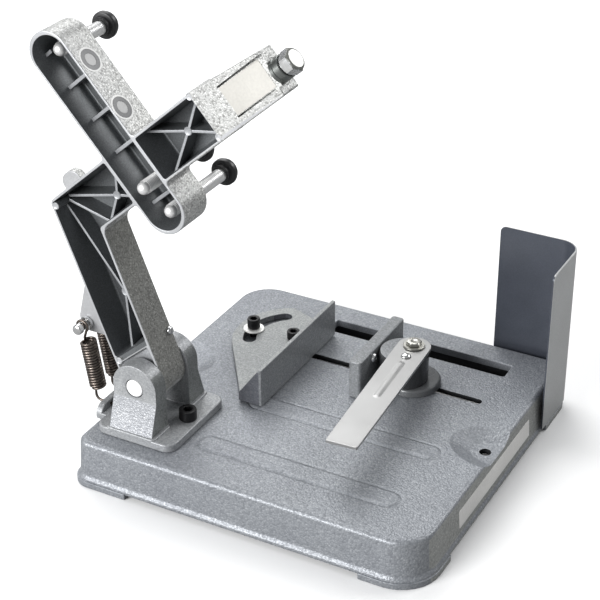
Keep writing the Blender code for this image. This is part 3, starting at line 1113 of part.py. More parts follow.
def build_vise():
    axis = Vector((VISE_X, T_SLOT_Y))
    bore = CLAMP_BOLT_RADIUS + FIT
    key_half = T_SLOT_WIDTH / 2 - FIT
    key_low = BASE_HEIGHT - BASE_TOP_WALL / 2
    edge = 1 * MM
    disc_profile = [(0, CLAMP_DISC), (CLAMP_DISC_RADIUS - edge, CLAMP_DISC),
                    (CLAMP_DISC_RADIUS, CLAMP_DISC - edge), (CLAMP_DISC_RADIUS, 0), (0, 0)]
    disc = turned("clamp_base", disc_profile, (axis.x, axis.y, SEAT), steps=36)
    join(disc, box("clamp_key", (axis.x - CLAMP_NUT_SIDE / 2, axis.y - key_half, key_low),
                   (axis.x + CLAMP_NUT_SIDE / 2, axis.y + key_half, SEAT + CLAMP_DISC / 2)))
    cut(disc, cylinder("clamp_base_hole", (axis.x, axis.y, 0),
                       (axis.x, axis.y, BASE_HEIGHT * 2), bore))
    make_part(disc, VISE_SLIDE, DARK_CAST)
    cam_low = SEAT + CLAMP_DISC + FIT
    cam_top = cam_low + CAM_HEIGHT
    centre = axis + CAM_OFFSET * Vector((math.cos(CAM_ANGLE), math.sin(CAM_ANGLE)))
    drum_profile = [(0, CAM_HEIGHT), (CAM_RADIUS - edge, CAM_HEIGHT), (CAM_RADIUS, CAM_HEIGHT - edge),
                    (CAM_RADIUS, 0), (0, 0)]
    drum = turned("cam_drum", drum_profile, (centre.x, centre.y, cam_low), steps=36)
    cut(drum, cylinder("cam_hole", (axis.x, axis.y, cam_low - CAM_HEIGHT),
                       (axis.x, axis.y, cam_top + CAM_HEIGHT), bore))
    along = Vector((math.cos(LEVER_ANGLE), math.sin(LEVER_ANGLE)))
    across = Vector((-along.y, along.x))
    rivet = axis + along * RIVET_ALONG
    cut(drum, cylinder("cam_rivet_hole", (rivet.x, rivet.y, cam_top - RIVET_DEPTH),
                       (rivet.x, rivet.y, cam_top + RIVET_DEPTH), RIVET_RADIUS + FIT, 12))
    make_part(drum, LEVER_TURN, DARK_CAST)
    lever_low = cam_top + FIT
    lever_top = lever_low + LEVER_THICK
    shape = [(-LEVER_EYE, -LEVER_EYE, 0.95 * LEVER_EYE), (LEVER_LENGTH, -LEVER_HALF, LEVER_THICK / 2),
             (LEVER_LENGTH, LEVER_HALF, LEVER_THICK / 2), (-LEVER_EYE, LEVER_EYE, 0.95 * LEVER_EYE)]
    outline = rounded([axis + along * run + across * side for run, side, radius in shape],
                      [radius for run, side, radius in shape])
    lever = prism("clamp_lever", outline, lever_low, lever_top)
    rib_start = RIVET_ALONG + 2 * RIVET_HEAD_RADIUS
    rib_end = rib_start + LEVER_RIB_LENGTH
    rib_side = across * LEVER_RIB_HALF
    rib_base = [axis + along * rib_start + rib_side, axis + along * rib_start - rib_side,
                axis + along * rib_end - rib_side, axis + along * rib_end + rib_side]
    slope = LEVER_RIB_HALF * 0.85
    rib_crest = [rib_base[0] + (along - across) * slope, rib_base[1] + (along + across) * slope,
                 rib_base[2] + (across - along) * slope, rib_base[3] - (along + across) * slope]
    middle = (lever_low + lever_top) / 2
    rib = loft("lever_rib", [[Vector((point.x, point.y, middle)) for point in rib_base],
                             [Vector((point.x, point.y, lever_top)) for point in rib_base],
                             [Vector((point.x, point.y, lever_top + LEVER_RIB_RISE)) for point in rib_crest]])
    join(lever, rib)
    cut(lever, cylinder("lever_hole", (axis.x, axis.y, lever_low - LEVER_THICK),
                        (axis.x, axis.y, lever_top + LEVER_THICK), bore))
    cut(lever, cylinder("lever_rivet_hole", (rivet.x, rivet.y, lever_low - LEVER_THICK),
                        (rivet.x, rivet.y, lever_top + LEVER_THICK), RIVET_RADIUS + FIT, 12))
    make_part(lever, LEVER_TURN, BRIGHT_STEEL)
    shank_end = LEVER_THICK + RIVET_DEPTH - FIT
    rivet_profile = [(0, RIVET_HEAD), (RIVET_HEAD_RADIUS * 0.7, RIVET_HEAD * 0.8),
                     (RIVET_HEAD_RADIUS, RIVET_HEAD * 0.3), (RIVET_HEAD_RADIUS, 0), (RIVET_RADIUS, 0),
                     (RIVET_RADIUS, -shank_end), (0, -shank_end)]
    rivet_seat = (rivet.x, rivet.y, lever_top + FIT)
    make_part(turned("lever_rivet", rivet_profile, rivet_seat, steps=16), LEVER_TURN, ZINC)
    washer("clamp_washer", (axis.x, axis.y, lever_top + FIT), CLAMP_WASHER_RADIUS, bore,
           CLAMP_WASHER, VISE_SLIDE)
    head_low = lever_top + CLAMP_WASHER + 2 * FIT
    nut_top = BASE_UNDER - FIT
    bolt = hexagon("clamp_bolt", (axis.x, axis.y, head_low), (axis.x, axis.y, head_low + CLAMP_HEAD),
                   CLAMP_HEAD_FLATS)
    join(bolt, cylinder("clamp_shank", (axis.x, axis.y, nut_top - CLAMP_NUT - SCREW_TAIL),
                        (axis.x, axis.y, head_low + CLAMP_HEAD / 2), CLAMP_BOLT_RADIUS))
    make_part(bolt, VISE_SLIDE, ZINC)
    nut_half = CLAMP_NUT_SIDE / 2
    nut = box("clamp_nut", (axis.x - nut_half, axis.y - nut_half, nut_top - CLAMP_NUT),
              (axis.x + nut_half, axis.y + nut_half, nut_top))
    cut(nut, cylinder("clamp_nut_hole", (axis.x, axis.y, nut_top - 2 * CLAMP_NUT),
                      (axis.x, axis.y, nut_top + CLAMP_NUT), bore, 16))
    make_part(nut, VISE_SLIDE, ZINC)
    jaw_back = centre.x - CAM_RADIUS - FIT
    jaw_front = jaw_back - JAW_THICK
    jaw_top = SEAT + JAW_HEIGHT
    jaw_outline = rounded(rectangle(jaw_front, jaw_back, axis.y - JAW_BEFORE, axis.y + JAW_AFTER),
                          JAW_THICK * 0.3)
    jaw = prism("vise_jaw", jaw_outline, SEAT, jaw_top)
    join(jaw, box("jaw_key", (jaw_front + edge, axis.y - key_half, key_low),
                  (jaw_back - edge, axis.y + key_half, SEAT + JAW_HEIGHT / 4)))
    screw = Vector((jaw_back, axis.y - JAW_SCREW_BEFORE, jaw_top - JAW_SCREW_DROP))
    inward = Vector((JAW_SCREW_DEPTH, 0, 0))
    cut(jaw, cylinder("jaw_screw_hole", screw - inward, screw + inward, JAW_SCREW_RADIUS + FIT, 12))
    make_part(jaw, JAW_SLIDE, HAMMERED)
    depth = JAW_SCREW_DEPTH - FIT
    jaw_screw = [(0, JAW_SCREW_HEAD), (JAW_SCREW_HEAD_RADIUS * 0.75, JAW_SCREW_HEAD),
                 (JAW_SCREW_HEAD_RADIUS, JAW_SCREW_HEAD * 0.6), (JAW_SCREW_HEAD_RADIUS, FIT),
                 (JAW_SCREW_RADIUS, FIT), (JAW_SCREW_RADIUS, -depth), (0, -depth)]
    make_part(turned("jaw_screw", jaw_screw, screw, (1, 0, 0), steps=16), JAW_SLIDE, ZINC)


def build_guard():
    """Bent sheet behind the base: a side wing, a bend and a back plate."""
    half = GUARD_THICK / 2
    side_x = BASE_HALF_X + FIT + half
    back_y = BASE_HALF_Y + FIT + half
    corner_x = side_x - GUARD_BEND
    corner_y = back_y - GUARD_BEND
    wing = corner_y - (back_y - GUARD_SIDE)
    plate = corner_x - (side_x - GUARD_BACK)
    bend = GUARD_BEND * math.pi / 2
    length = wing + bend + plate
    edge = [GUARD_CORNER * (1 - math.cos(math.radians(22.5) * step)) for step in range(5)]
    stations = edge + [wing + bend * step / 6 for step in range(7)]
    stations += [length - reach for reach in reversed(edge)]
    columns = []
    for run in stations:
        if run <= wing:
            place = Vector((side_x, corner_y - wing + run, 0))
        elif run <= wing + bend:
            angle = (run - wing) / GUARD_BEND
            turn = Vector((math.cos(angle), math.sin(angle), 0))
            place = Vector((corner_x, corner_y, 0)) + GUARD_BEND * turn
        else:
            place = Vector((corner_x - (run - wing - bend), back_y, 0))
        near_end = min(run, length - run, GUARD_CORNER)
        fall = GUARD_CORNER - math.sqrt(max(0, GUARD_CORNER ** 2 - (GUARD_CORNER - near_end) ** 2))
        columns.append((place + Vector((0, 0, GUARD_BOTTOM)), place + Vector((0, 0, GUARD_TOP - fall))))
    model = bmesh.new()
    rows = [(model.verts.new(low), model.verts.new(high)) for low, high in columns]
    for first, second in zip(rows, rows[1:]):
        model.faces.new((first[0], second[0], second[1], first[1]))
    guard = add_mesh("spark_guard", model)
    shell = guard.modifiers.new("Sheet", "SOLIDIFY")
    shell.thickness = GUARD_THICK
    shell.offset = 0
    shell.use_even_offset = True
    outer = back_y + half
    for name, x in guard_screw_places().items():
        cut(guard, cylinder("guard_hole_" + name, (x, back_y - GUARD_BEND / 2, GUARD_SCREW_HEIGHT),
                            (x, back_y + GUARD_BEND / 2, GUARD_SCREW_HEIGHT), GUARD_SHANK + FIT))
    make_part(guard, STAND, SHEET_PAINT)
    depth = GUARD_THICK + GUARD_BOSS_DEPTH + GUARD_NUT + SCREW_TAIL + 3 * FIT
    profile = [(0, GUARD_HEAD), (GUARD_HEAD_RADIUS * 0.7, GUARD_HEAD), (GUARD_HEAD_RADIUS, GUARD_HEAD * 0.4),
               (GUARD_HEAD_RADIUS, 0), (GUARD_SHANK, 0), (GUARD_SHANK, -depth), (0, -depth)]
    for name, x in guard_screw_places().items():
        place = (x, outer + FIT, GUARD_SCREW_HEIGHT)
        make_part(turned("guard_screw_" + name, profile, place, (0, 1, 0), steps=16), STAND, ZINC)
        hex_nut("guard_nut_" + name, (x, BASE_HALF_Y - GUARD_BOSS_DEPTH - FIT, GUARD_SCREW_HEIGHT),
                (0, -1, 0), GUARD_NUT_FLATS, GUARD_NUT, GUARD_SHANK + FIT, STAND)


def stand_on_origin():
    """Move the stand so that the origin is under the middle of its box."""
    bpy.context.view_layer.update()
    graph = bpy.context.evaluated_depsgraph_get()
    corners = []
    for item in PARTS.objects:
        if item.type != "EMPTY":
            solid = item.evaluated_get(graph)
            corners += [solid.matrix_world @ vertex.co for vertex in solid.to_mesh().vertices]
            solid.to_mesh_clear()
    low = [min(corner[axis] for corner in corners) for axis in range(3)]
    high = [max(corner[axis] for corner in corners) for axis in range(3)]
    STAND.location = (-(low[0] + high[0]) / 2, -(low[1] + high[1]) / 2, -low[2])


build_base()
build_bracket()
build_arm()
build_supports()
build_grinder_bolt()
build_springs()
build_fence()
build_vise()
build_guard()
stand_on_origin()
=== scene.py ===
# %% [markdown]
# # The looks of an angle grinder stand
# The stand is a pressed base with a fence, a quick vise and a spark guard, and a
# cast arm that swings down against two springs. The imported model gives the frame:
# every size and joint is fixed there. This lesson dresses it, piece by piece, with
# finer shapes and procedural finishes. It works in millimetres from the middle of
# the base, and turns them into the frame's metres when a mesh is made.

# %% Load the frame
import math

import bmesh
import bpy
from mathutils import Matrix, Vector

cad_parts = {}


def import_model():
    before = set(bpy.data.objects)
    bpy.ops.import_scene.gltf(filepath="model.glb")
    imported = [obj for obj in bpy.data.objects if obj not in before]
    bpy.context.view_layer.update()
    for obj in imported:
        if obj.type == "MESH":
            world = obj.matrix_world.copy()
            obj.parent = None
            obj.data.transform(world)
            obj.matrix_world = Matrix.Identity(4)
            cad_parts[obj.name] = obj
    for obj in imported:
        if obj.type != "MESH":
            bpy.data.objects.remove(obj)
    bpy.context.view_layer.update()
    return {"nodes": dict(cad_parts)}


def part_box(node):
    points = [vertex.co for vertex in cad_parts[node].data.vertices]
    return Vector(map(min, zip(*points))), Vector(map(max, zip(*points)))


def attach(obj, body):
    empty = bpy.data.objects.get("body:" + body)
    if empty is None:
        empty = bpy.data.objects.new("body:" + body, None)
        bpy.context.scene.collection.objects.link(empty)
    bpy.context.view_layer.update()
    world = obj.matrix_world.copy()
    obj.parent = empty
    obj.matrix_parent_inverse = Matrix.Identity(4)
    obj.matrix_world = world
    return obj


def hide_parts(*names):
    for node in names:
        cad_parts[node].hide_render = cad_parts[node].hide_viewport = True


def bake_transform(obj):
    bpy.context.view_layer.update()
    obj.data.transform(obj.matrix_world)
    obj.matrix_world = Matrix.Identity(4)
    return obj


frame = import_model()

MM = 0.001
pan_low, pan_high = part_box("base_pan")
STAND = Vector(((pan_low.x + pan_high.x) / 2, (pan_low.y + pan_high.y) / 2, 0))
print("frame:", len(frame["nodes"]), "nodes, stand at", [round(v, 4) for v in STAND])

# %% [markdown]
# The camera stands where the photographer stood. Its place and lens were found by
# fitting the corners of the base, so it is given here as plain numbers. The long
# lens keeps the sides of the base nearly parallel.

# %% Camera
VIEW_TURN, VIEW_RISE, VIEW_ROLL = (math.radians(angle) for angle in (28.539, 29.533, -0.282))
VIEW_PLACE = (457.106, -882.044, 680.429)
LENS_LENGTH, FILM_WIDTH = 98.47, 36


def world(point):
    """A point in millimetres from the middle of the base, in the frame's metres."""
    return STAND + Vector(point) * MM


def add(name, data):
    """New object in the scene, at the origin."""
    thing = bpy.data.objects.new(name, data)
    bpy.context.scene.collection.objects.link(thing)
    return thing


across = Vector((math.cos(VIEW_TURN), math.sin(VIEW_TURN), 0))
toward = Vector((math.sin(VIEW_TURN) * math.cos(VIEW_RISE),
                 -math.cos(VIEW_TURN) * math.cos(VIEW_RISE), math.sin(VIEW_RISE)))
upward = toward.cross(across)
level = math.cos(VIEW_ROLL) * across + math.sin(VIEW_ROLL) * upward
rise = math.cos(VIEW_ROLL) * upward - math.sin(VIEW_ROLL) * across
lens = bpy.data.cameras.new("studio_camera")
lens.lens, lens.sensor_width, lens.clip_start = LENS_LENGTH, FILM_WIDTH, 0.01
camera = add("studio_camera", lens)
camera.matrix_world = Matrix.Translation(world(VIEW_PLACE)) @ Matrix(
    (level, rise, toward)).transposed().to_4x4()
bpy.context.scene.camera = camera
print("camera at", [round(v, 3) for v in camera.location])

# %% [markdown]
# The floor is a pale sweep. It looks white to the camera but sends less light back
# up, like a table that the picture editor has whitened.

# %% Floor
FLOOR_HALF = 6.0
SEEN_WHITE, SENT_WHITE = 0.98, 0.36


def node(tree, kind, sockets=None, **settings):
    """Add a node, set its properties, and fill or link its sockets by name."""
    made = tree.nodes.new(kind)
    for key, value in settings.items():
        setattr(made, key, value)
    for key, value in (sockets or {}).items():
        if isinstance(value, bpy.types.NodeSocket):
            tree.links.new(value, made.inputs[key])
        else:
            made.inputs[key].default_value = value
    return made


def floor_finish():
    material = bpy.data.materials.new("pale_floor")
    material.use_nodes = True
    tree = material.node_tree
    tree.nodes.clear()
    rays = node(tree, "ShaderNodeLightPath")
    sent, seen = (node(tree, "ShaderNodeBsdfDiffuse", {"Color": (white, white, white, 1)})
                  for white in (SENT_WHITE, SEEN_WHITE))
    mixed = node(tree, "ShaderNodeMixShader", {0: rays.outputs["Is Camera Ray"],
                                              1: sent.outputs[0], 2: seen.outputs[0]})
    node(tree, "ShaderNodeOutputMaterial", {"Surface": mixed.outputs[0]})
    return material


floor_mesh = bpy.data.meshes.new("floor")
floor_mesh.from_pydata([(x * FLOOR_HALF, y * FLOOR_HALF, 0) for x, y in ((-1, -1), (1, -1), (1, 1), (-1, 1))],
                       [], [(0, 1, 2, 3)])
floor_mesh.materials.append(floor_finish())
add("floor", floor_mesh)
print("floor:", 2 * FLOOR_HALF, "m wide")

# %% [markdown]
# Three soft panels light the stand. The key is large and stands to the front and left,
# as on the photograph: the front wall of the base is light, the right wall dark. A
# panel behind on the right puts the bright sheen on the arm's band.

# %% Light
PANELS = {"key_panel": ((-0.85, -2.1, 0.8), (1.6, 1.0), 77),
          "top_panel": ((-0.95, 0.75, 1.5), (1.6, 1.5), 26),
          "band_panel": ((1.3, 1.8, 1.7), (1.5, 0.9), 30)}
SKY_COLOUR, SKY_POWER = (0.96, 0.98, 1, 1), 0.31
STAND_MIDDLE = Vector((0, 0, 0.12))
for name, (place, size, power) in PANELS.items():
    light = bpy.data.lights.new(name, "AREA")
    light.shape, light.energy = "RECTANGLE", power
    light.size, light.size_y = size
    lamp = add(name, light)
    lamp.location = place
    lamp.rotation_euler = (STAND_MIDDLE - Vector(place)).to_track_quat("-Z", "Y").to_euler()
sky = bpy.data.worlds.new("studio_sky")
bpy.context.scene.world = sky
sky.use_nodes = True
sky.node_tree.nodes["Background"].inputs["Color"].default_value = SKY_COLOUR
sky.node_tree.nodes["Background"].inputs["Strength"].default_value = SKY_POWER
bpy.context.scene.view_settings.view_transform = "Standard"
print("light:", len(PANELS), "panels")

# %% [markdown]
# Every finish is a small node tree around one shader. It reads Object coordinates, so
# the grain stays fixed to the piece. These helpers add the nodes that all finishes
# share: noise, colour ramps, and the links for colour, gloss and relief.

# %% Finish helpers


def shader_of(name, roughness, metallic):
    """New material; gives it with its tree, its shader and the Object coordinates."""
    material = bpy.data.materials.new(name)
    material.use_nodes = True
    tree = material.node_tree
    shader = tree.nodes["Principled BSDF"]
    shader.inputs["Roughness"].default_value = roughness
    shader.inputs["Metallic"].default_value = metallic
    return material, tree, shader, node(tree, "ShaderNodeTexCoord").outputs["Object"]


def noise(tree, place, scale, detail):
    return node(tree, "ShaderNodeTexNoise", {"Vector": place, "Scale": scale, "Detail": detail}).outputs


def ramp(tree, factor, *stops):
    """Colour ramp from (position, colour) stops."""
    made = node(tree, "ShaderNodeValToRGB", {"Fac": factor})
    band = made.color_ramp.elements
    while len(band) < len(stops):
        band.new(0.5)
    for element, (position, colour) in zip(band, stops):
        element.position = position
        element.color = (*colour, 1)
    return made.outputs["Color"]


def multiply(tree, first, second):
    made = node(tree, "ShaderNodeMix", {0: 1.0, 6: first, 7: second}, data_type="RGBA", blend_type="MULTIPLY")
    return made.outputs[2]


def value_range(tree, value, low, high, first=0.0, last=1.0):
    return node(tree, "ShaderNodeMapRange", {"Value": value, "From Min": first, "From Max": last,
                                            "To Min": low, "To Max": high}).outputs["Result"]


def lay_finish(tree, shader, colour, gloss, height, relief, depth, invert=False):
    """Link colour, gloss and relief into the shader."""
    bump = node(tree, "ShaderNodeBump", {"Height": height, "Strength": relief, "Distance": depth},
                invert=invert)
    for key, value in (("Base Color", colour), ("Roughness", gloss), ("Normal", bump.outputs["Normal"])):
        tree.links.new(value, shader.inputs[key])


print("finish helpers ready; materials so far:", len(bpy.data.materials))

# %% [markdown]
# Most metal here is sprayed with hammered paint: aluminium flake that draws itself
# into small pale cells with darker seams. A Voronoi pattern, bent a little by noise,
# gives the cells. Each cell has its own tone, and the same pattern drives the relief
# and the gloss, so the finish holds together in close view.

# %% Hammered paint


def grey(value):
    return (value, value, value)


def hammered(name, seam, body, glint, cell, relief, roughness=0.42, metallic=0.3):
    """Hammered paint with cells of the given size in millimetres."""
    material, tree, shader, place = shader_of(name, roughness, metallic)
    drift = noise(tree, place, 420 / cell, 2)
    bent = node(tree, "ShaderNodeVectorMath", {0: drift["Color"], 1: grey(cell * 0.0011)},
                operation="MULTIPLY")
    moved = node(tree, "ShaderNodeVectorMath", {0: place, 1: bent.outputs[0]}, operation="ADD")
    cells = node(tree, "ShaderNodeTexVoronoi", {"Vector": moved.outputs[0], "Scale": 1000 / cell,
                                               "Smoothness": 0.45}, feature="SMOOTH_F1").outputs
    tone = node(tree, "ShaderNodeSeparateColor", {"Color": cells["Color"]})
    flake = ramp(tree, tone.outputs[0], (0.1, seam), (0.42, body), (0.72, body), (1.0, glint))
    seams = ramp(tree, cells["Distance"], (0.28, grey(1)), (0.75, (0.8, 0.8, 0.81)))
    cloud = noise(tree, place, 16, 3)
    shade = ramp(tree, cloud["Fac"], (0.3, (0.92, 0.92, 0.93)), (0.7, (1.06, 1.06, 1.05)))
    gloss = value_range(tree, cells["Distance"], roughness - 0.1, roughness + 0.14)
    lay_finish(tree, shader, multiply(tree, multiply(tree, flake, seams), shade), gloss,
               cells["Distance"], relief, cell * 0.0004, True)
    return material


BASE_PAINT = hammered("base_paint", (0.235, 0.248, 0.268), (0.285, 0.3, 0.322), (0.365, 0.38, 0.402),
                      1.3, 0.45)
# Paler copy of the base paint for the right wall: painted light.
RIGHT_WALL_PAINTED_LIGHT = hammered("right_wall_painted_light", (0.31, 0.318, 0.308), (0.385, 0.393, 0.382), (0.49, 0.498, 0.486),
                      1.2, 0.3)
FITTING_PAINT = hammered("fitting_paint", (0.2, 0.208, 0.215), (0.24, 0.25, 0.258), (0.3, 0.31, 0.318),
                         1.2, 0.25)
# Paler copy for the fence's upper faces: painted light.
FOOT_TOP_PAINTED_LIGHT = hammered("fence_top_painted_light", (0.275, 0.286, 0.284), (0.32, 0.332, 0.329), (0.39, 0.402, 0.398),
                      1.1, 0.25)
EAR_PAINT = hammered("ear_paint", (0.3, 0.31, 0.32), (0.35, 0.36, 0.37), (0.42, 0.43, 0.44), 1.1, 0.2)
# Darker copy of the ear paint for the ears' right sides: painted shade.
EAR_PAINTED_SHADE = hammered("ear_side_painted_shade", (0.18, 0.19, 0.188), (0.215, 0.226, 0.223), (0.27, 0.28, 0.278),
                     1.1, 0.2)
FLARE_PAINT = hammered("flare_paint", (0.29, 0.3, 0.32), (0.355, 0.365, 0.385), (0.5, 0.51, 0.53), 1.15, 0.45)
BAND_PAINT = hammered("band_paint", (0.3, 0.3, 0.29), (0.54, 0.545, 0.53), (0.82, 0.82, 0.8), 1.0, 0.4, 0.4)
# Dark olive copy for the leg's side face: painted shade.
LEG_PAINTED_SHADE = hammered("leg_side_painted_shade", (0.2, 0.2, 0.187), (0.305, 0.305, 0.285), (0.46, 0.46, 0.435), 1.1, 0.35)
# Near-black copy for the gusset's near face: painted shade.
GUSSET_PAINTED_SHADE = hammered("gusset_painted_shade", (0.105, 0.11, 0.125), (0.125, 0.131, 0.147), (0.155, 0.162, 0.18),
                        1.2, 0.2)
print("hammered paints made; materials so far:", len(bpy.data.materials))

# %% [markdown]
# Smooth paint, enamel and the thin coat down in the pockets only have a fine grain,
# with wide clouds that change tone and gloss a little.

# %% Smooth paint and cast skin


def fine_paint(name, colour, roughness, metallic, grain, spread, relief=0.12):
    """Smooth paint or cast skin with a fine grain in millimetres."""
    material, tree, shader, place = shader_of(name, roughness, metallic)
    fine, wide = noise(tree, place, 1000 / grain, 3), noise(tree, place, 22, 3)
    dark, light = ([value * scale for value in colour] for scale in (1 - spread, 1 + spread))
    base = ramp(tree, fine["Fac"], (0.3, dark), (0.7, light))
    shade = ramp(tree, wide["Fac"], (0.3, grey(0.9)), (0.7, grey(1.08)))
    gloss = value_range(tree, wide["Fac"], roughness - 0.07, roughness + 0.07, 0.3, 0.7)
    lay_finish(tree, shader, multiply(tree, base, shade), gloss, fine["Fac"], relief, grain * 0.0002)
    return material


# Pockets in painted shade, rib tops and lit faces in painted light, rims in painted highlight.
POCKET_PAINTED_SHADE = fine_paint("pocket_painted_shade", (0.128, 0.136, 0.142), 0.42, 0.35, 0.9, 0.25)
RIB_PAINTED_LIGHT = fine_paint("rib_paint", (0.36, 0.37, 0.385), 0.4, 0.4, 0.8, 0.15)
RIM_PAINTED_HIGHLIGHT = fine_paint("rim_painted_highlight", (0.5, 0.51, 0.525), 0.36, 0.4, 0.8, 0.1)
FIN_PAINT = fine_paint("fin_paint", (0.4, 0.405, 0.415), 0.4, 0.2, 1.0, 0.08)
# Darker slot walls, and black deep in slots and holes: painted shade.
SLOT_PAINTED_SHADE = fine_paint("slot_painted_shade", (0.2, 0.21, 0.23), 0.5, 0.1, 1.2, 0.2)
DEEP_PAINTED_SHADE = fine_paint("deep_painted_shade", (0.014, 0.015, 0.017), 0.55, 0.1, 1.2, 0.3)
GUARD_PAINT = fine_paint("guard_paint", (0.47, 0.48, 0.482), 0.36, 0.35, 0.7, 0.1, 0.08)
# Dark copy of the guard paint for its inner faces: painted shade.
GUARD_PAINTED_SHADE = fine_paint("guard_inner_painted_shade", (0.06, 0.067, 0.085), 0.36, 0.3, 0.7, 0.1, 0.08)
DRUM_PAINT = fine_paint("drum_enamel", (0.05, 0.052, 0.055), 0.26, 0.25, 0.8, 0.2, 0.1)
DISC_PAINT = fine_paint("disc_enamel", (0.15, 0.155, 0.16), 0.32, 0.35, 0.8, 0.15, 0.1)
BLACK_OXIDE = fine_paint("black_oxide", (0.012, 0.012, 0.013), 0.34, 0.5, 0.5, 0.3)
BLACK_PLASTIC = fine_paint("black_plastic", (0.014, 0.014, 0.015), 0.38, 0.0, 0.6, 0.25, 0.2)
print("smooth paints made; materials so far:", len(bpy.data.materials))

# %% [markdown]
# Bare metal is either brushed along one direction, as on the lever, or plated zinc
# with a faint cloudiness. The brush marks come from noise that is stretched along
# the lever. Spring wire is dark from its oil, with brown where the light catches it.

# %% Bare metals
METAL_RELIEF, METAL_DEPTH = 0.06, 0.00005
BRUSH_SCALE = 2600


def brushed(name, colour, roughness, turn, length):
    """Steel with marks along one direction, turned about Z by the angle given."""
    material, tree, shader, place = shader_of(name, roughness, 1.0)
    laid = node(tree, "ShaderNodeMapping", {"Vector": place, "Rotation": (0, 0, -turn),
                                           "Scale": (1000 / length, BRUSH_SCALE, BRUSH_SCALE)})
    marks, wide = noise(tree, laid.outputs[0], 1, 4)["Fac"], noise(tree, place, 40, 2)["Fac"]
    base = ramp(tree, marks, (0.3, [value * 0.95 for value in colour]), (0.7, colour))
    both = node(tree, "ShaderNodeMath", {0: marks, 1: wide}, operation="MULTIPLY").outputs[0]
    gloss = value_range(tree, both, roughness - 0.08, roughness + 0.1, 0.1, 0.45)
    lay_finish(tree, shader, base, gloss, marks, METAL_RELIEF, METAL_DEPTH)
    return material


def plated(name, colour, roughness, cloud, tint, metallic=1.0):
    """Plated metal with soft clouds and a second tint in them."""
    material, tree, shader, place = shader_of(name, roughness, metallic)
    wide, fine = noise(tree, place, 1000 / cloud, 4)["Fac"], noise(tree, place, 1800, 2)["Fac"]
    gloss = value_range(tree, wide, roughness + 0.08, roughness - 0.06, 0.3, 0.7)
    base = ramp(tree, wide, (0.35, tint), (0.65, colour))
    lay_finish(tree, shader, base, gloss, fine, METAL_RELIEF, METAL_DEPTH)
    return material


LEVER_TURN = math.radians(-85.7)
LEVER_STEEL = brushed("lever_steel", (0.41, 0.41, 0.407), 0.44, LEVER_TURN, 30)
ZINC = plated("zinc", (0.8, 0.8, 0.79), 0.22, 9, (0.62, 0.63, 0.64))
STUD_STEEL = plated("stud_steel", (0.9, 0.9, 0.89), 0.36, 9, (0.8, 0.8, 0.8), 0.65)
BOLT_ZINC = plated("bolt_zinc", (0.56, 0.555, 0.515), 0.3, 5, (0.42, 0.415, 0.385))
# Dark copy of the zinc for the bolt's chamfer: painted shade.
CHAMFER_PAINTED_SHADE = plated("chamfer_painted_shade", (0.2, 0.203, 0.19), 0.42, 5, (0.15, 0.153, 0.142), 0.2)
BRIGHT_ZINC = plated("bright_zinc", (0.94, 0.94, 0.92), 0.5, 9, (0.86, 0.86, 0.83), 0.55)
PIN_STEEL = plated("pin_steel", (0.97, 0.97, 0.97), 0.5, 12, (0.94, 0.94, 0.94), 0.1)
SPACER_STEEL = plated("spacer_steel", (0.26, 0.275, 0.265), 0.3, 7, (0.19, 0.2, 0.195))
SPRING_STEEL = plated("spring_steel", (0.24, 0.205, 0.18), 0.34, 3, (0.1, 0.086, 0.078))
print("metals made; materials so far:", len(bpy.data.materials))

# %% [markdown]
# A few shape tools come next. An outline is a list of corners, each with its own
# radius, and it can be drawn in by an inset with its point count unchanged. So a
# plate with rounded rims is a stack of the same outline at different insets, and a
# cast pocket is such a stack used as a cutter, with a rounded lip, draft and a
# filleted floor.

# %% Outlines
LAYS = {"flat": lambda u, v, h: (u, v, h), "upright": lambda u, v, h: (u, h, v),
        "end": lambda u, v, h: (h, u, v)}


def polar(angle, reach=1.0):
    return reach * Vector((math.cos(angle), math.sin(angle)))


def oblong(u0, v0, u1, v1, *radii):
    """Four corners with one radius, or with a radius each."""
    places = ((u0, v0), (u1, v0), (u1, v1), (u0, v1))
    return [(*place, radius) for place, radius in zip(places, radii * (4 // len(radii)))]


def placed(way, corners):
    """Corners (u, v, radius) put where a function of u and v says."""
    return [(*way(u, v), radius) for u, v, radius in corners]


def outline(corners, inset=0.0, steps=8):
    """Points along an outline of (u, v, radius) corners, drawn in by an inset."""
    points = [Vector(corner[:2]) for corner in corners]
    area = sum(a.x * b.y - b.x * a.y for a, b in zip(points, points[1:] + points[:1]))
    side = 1 if area > 0 else -1
    ring = []
    for index, corner in enumerate(points):
        radius = corners[index][2]
        come = (corner - points[index - 1]).normalized()
        leave = (points[(index + 1) % len(points)] - corner).normalized()
        inward = side * (Vector((-come.y, come.x)) + Vector((-leave.y, leave.x)))
        place = corner + inward * inset / (1 + come.dot(leave))
        turn = math.atan2(come.x * leave.y - come.y * leave.x, come.dot(leave))
        bend = max(radius - inset if turn * side > 0 else radius + inset, 0.08)
        start = place - come * bend * math.tan(abs(turn) / 2)
        centre = start + Vector((-come.y, come.x)) * math.copysign(bend, turn)
        count = steps if radius > 1 else 3
        for step in range(count + 1):
            ring.append(centre + Matrix.Rotation(turn * step / count, 2) @ (start - centre))
    return ring


print("an oblong with round corners has", len(outline(oblong(0, 0, 20, 10, 3))), "points")

# %% [markdown]
# A body is a skin through rings of points. All rings have the same count, so each
# point joins its neighbour in the next ring.

# %% Lofted bodies


def add_body(name, model):
    """Clean mesh object from a bmesh, with its faces outwards."""
    bmesh.ops.remove_doubles(model, verts=model.verts, dist=1e-7)
    bmesh.ops.recalc_face_normals(model, faces=model.faces)
    mesh = bpy.data.meshes.new(name)
    model.to_mesh(mesh)
    model.free()
    return add(name, mesh)


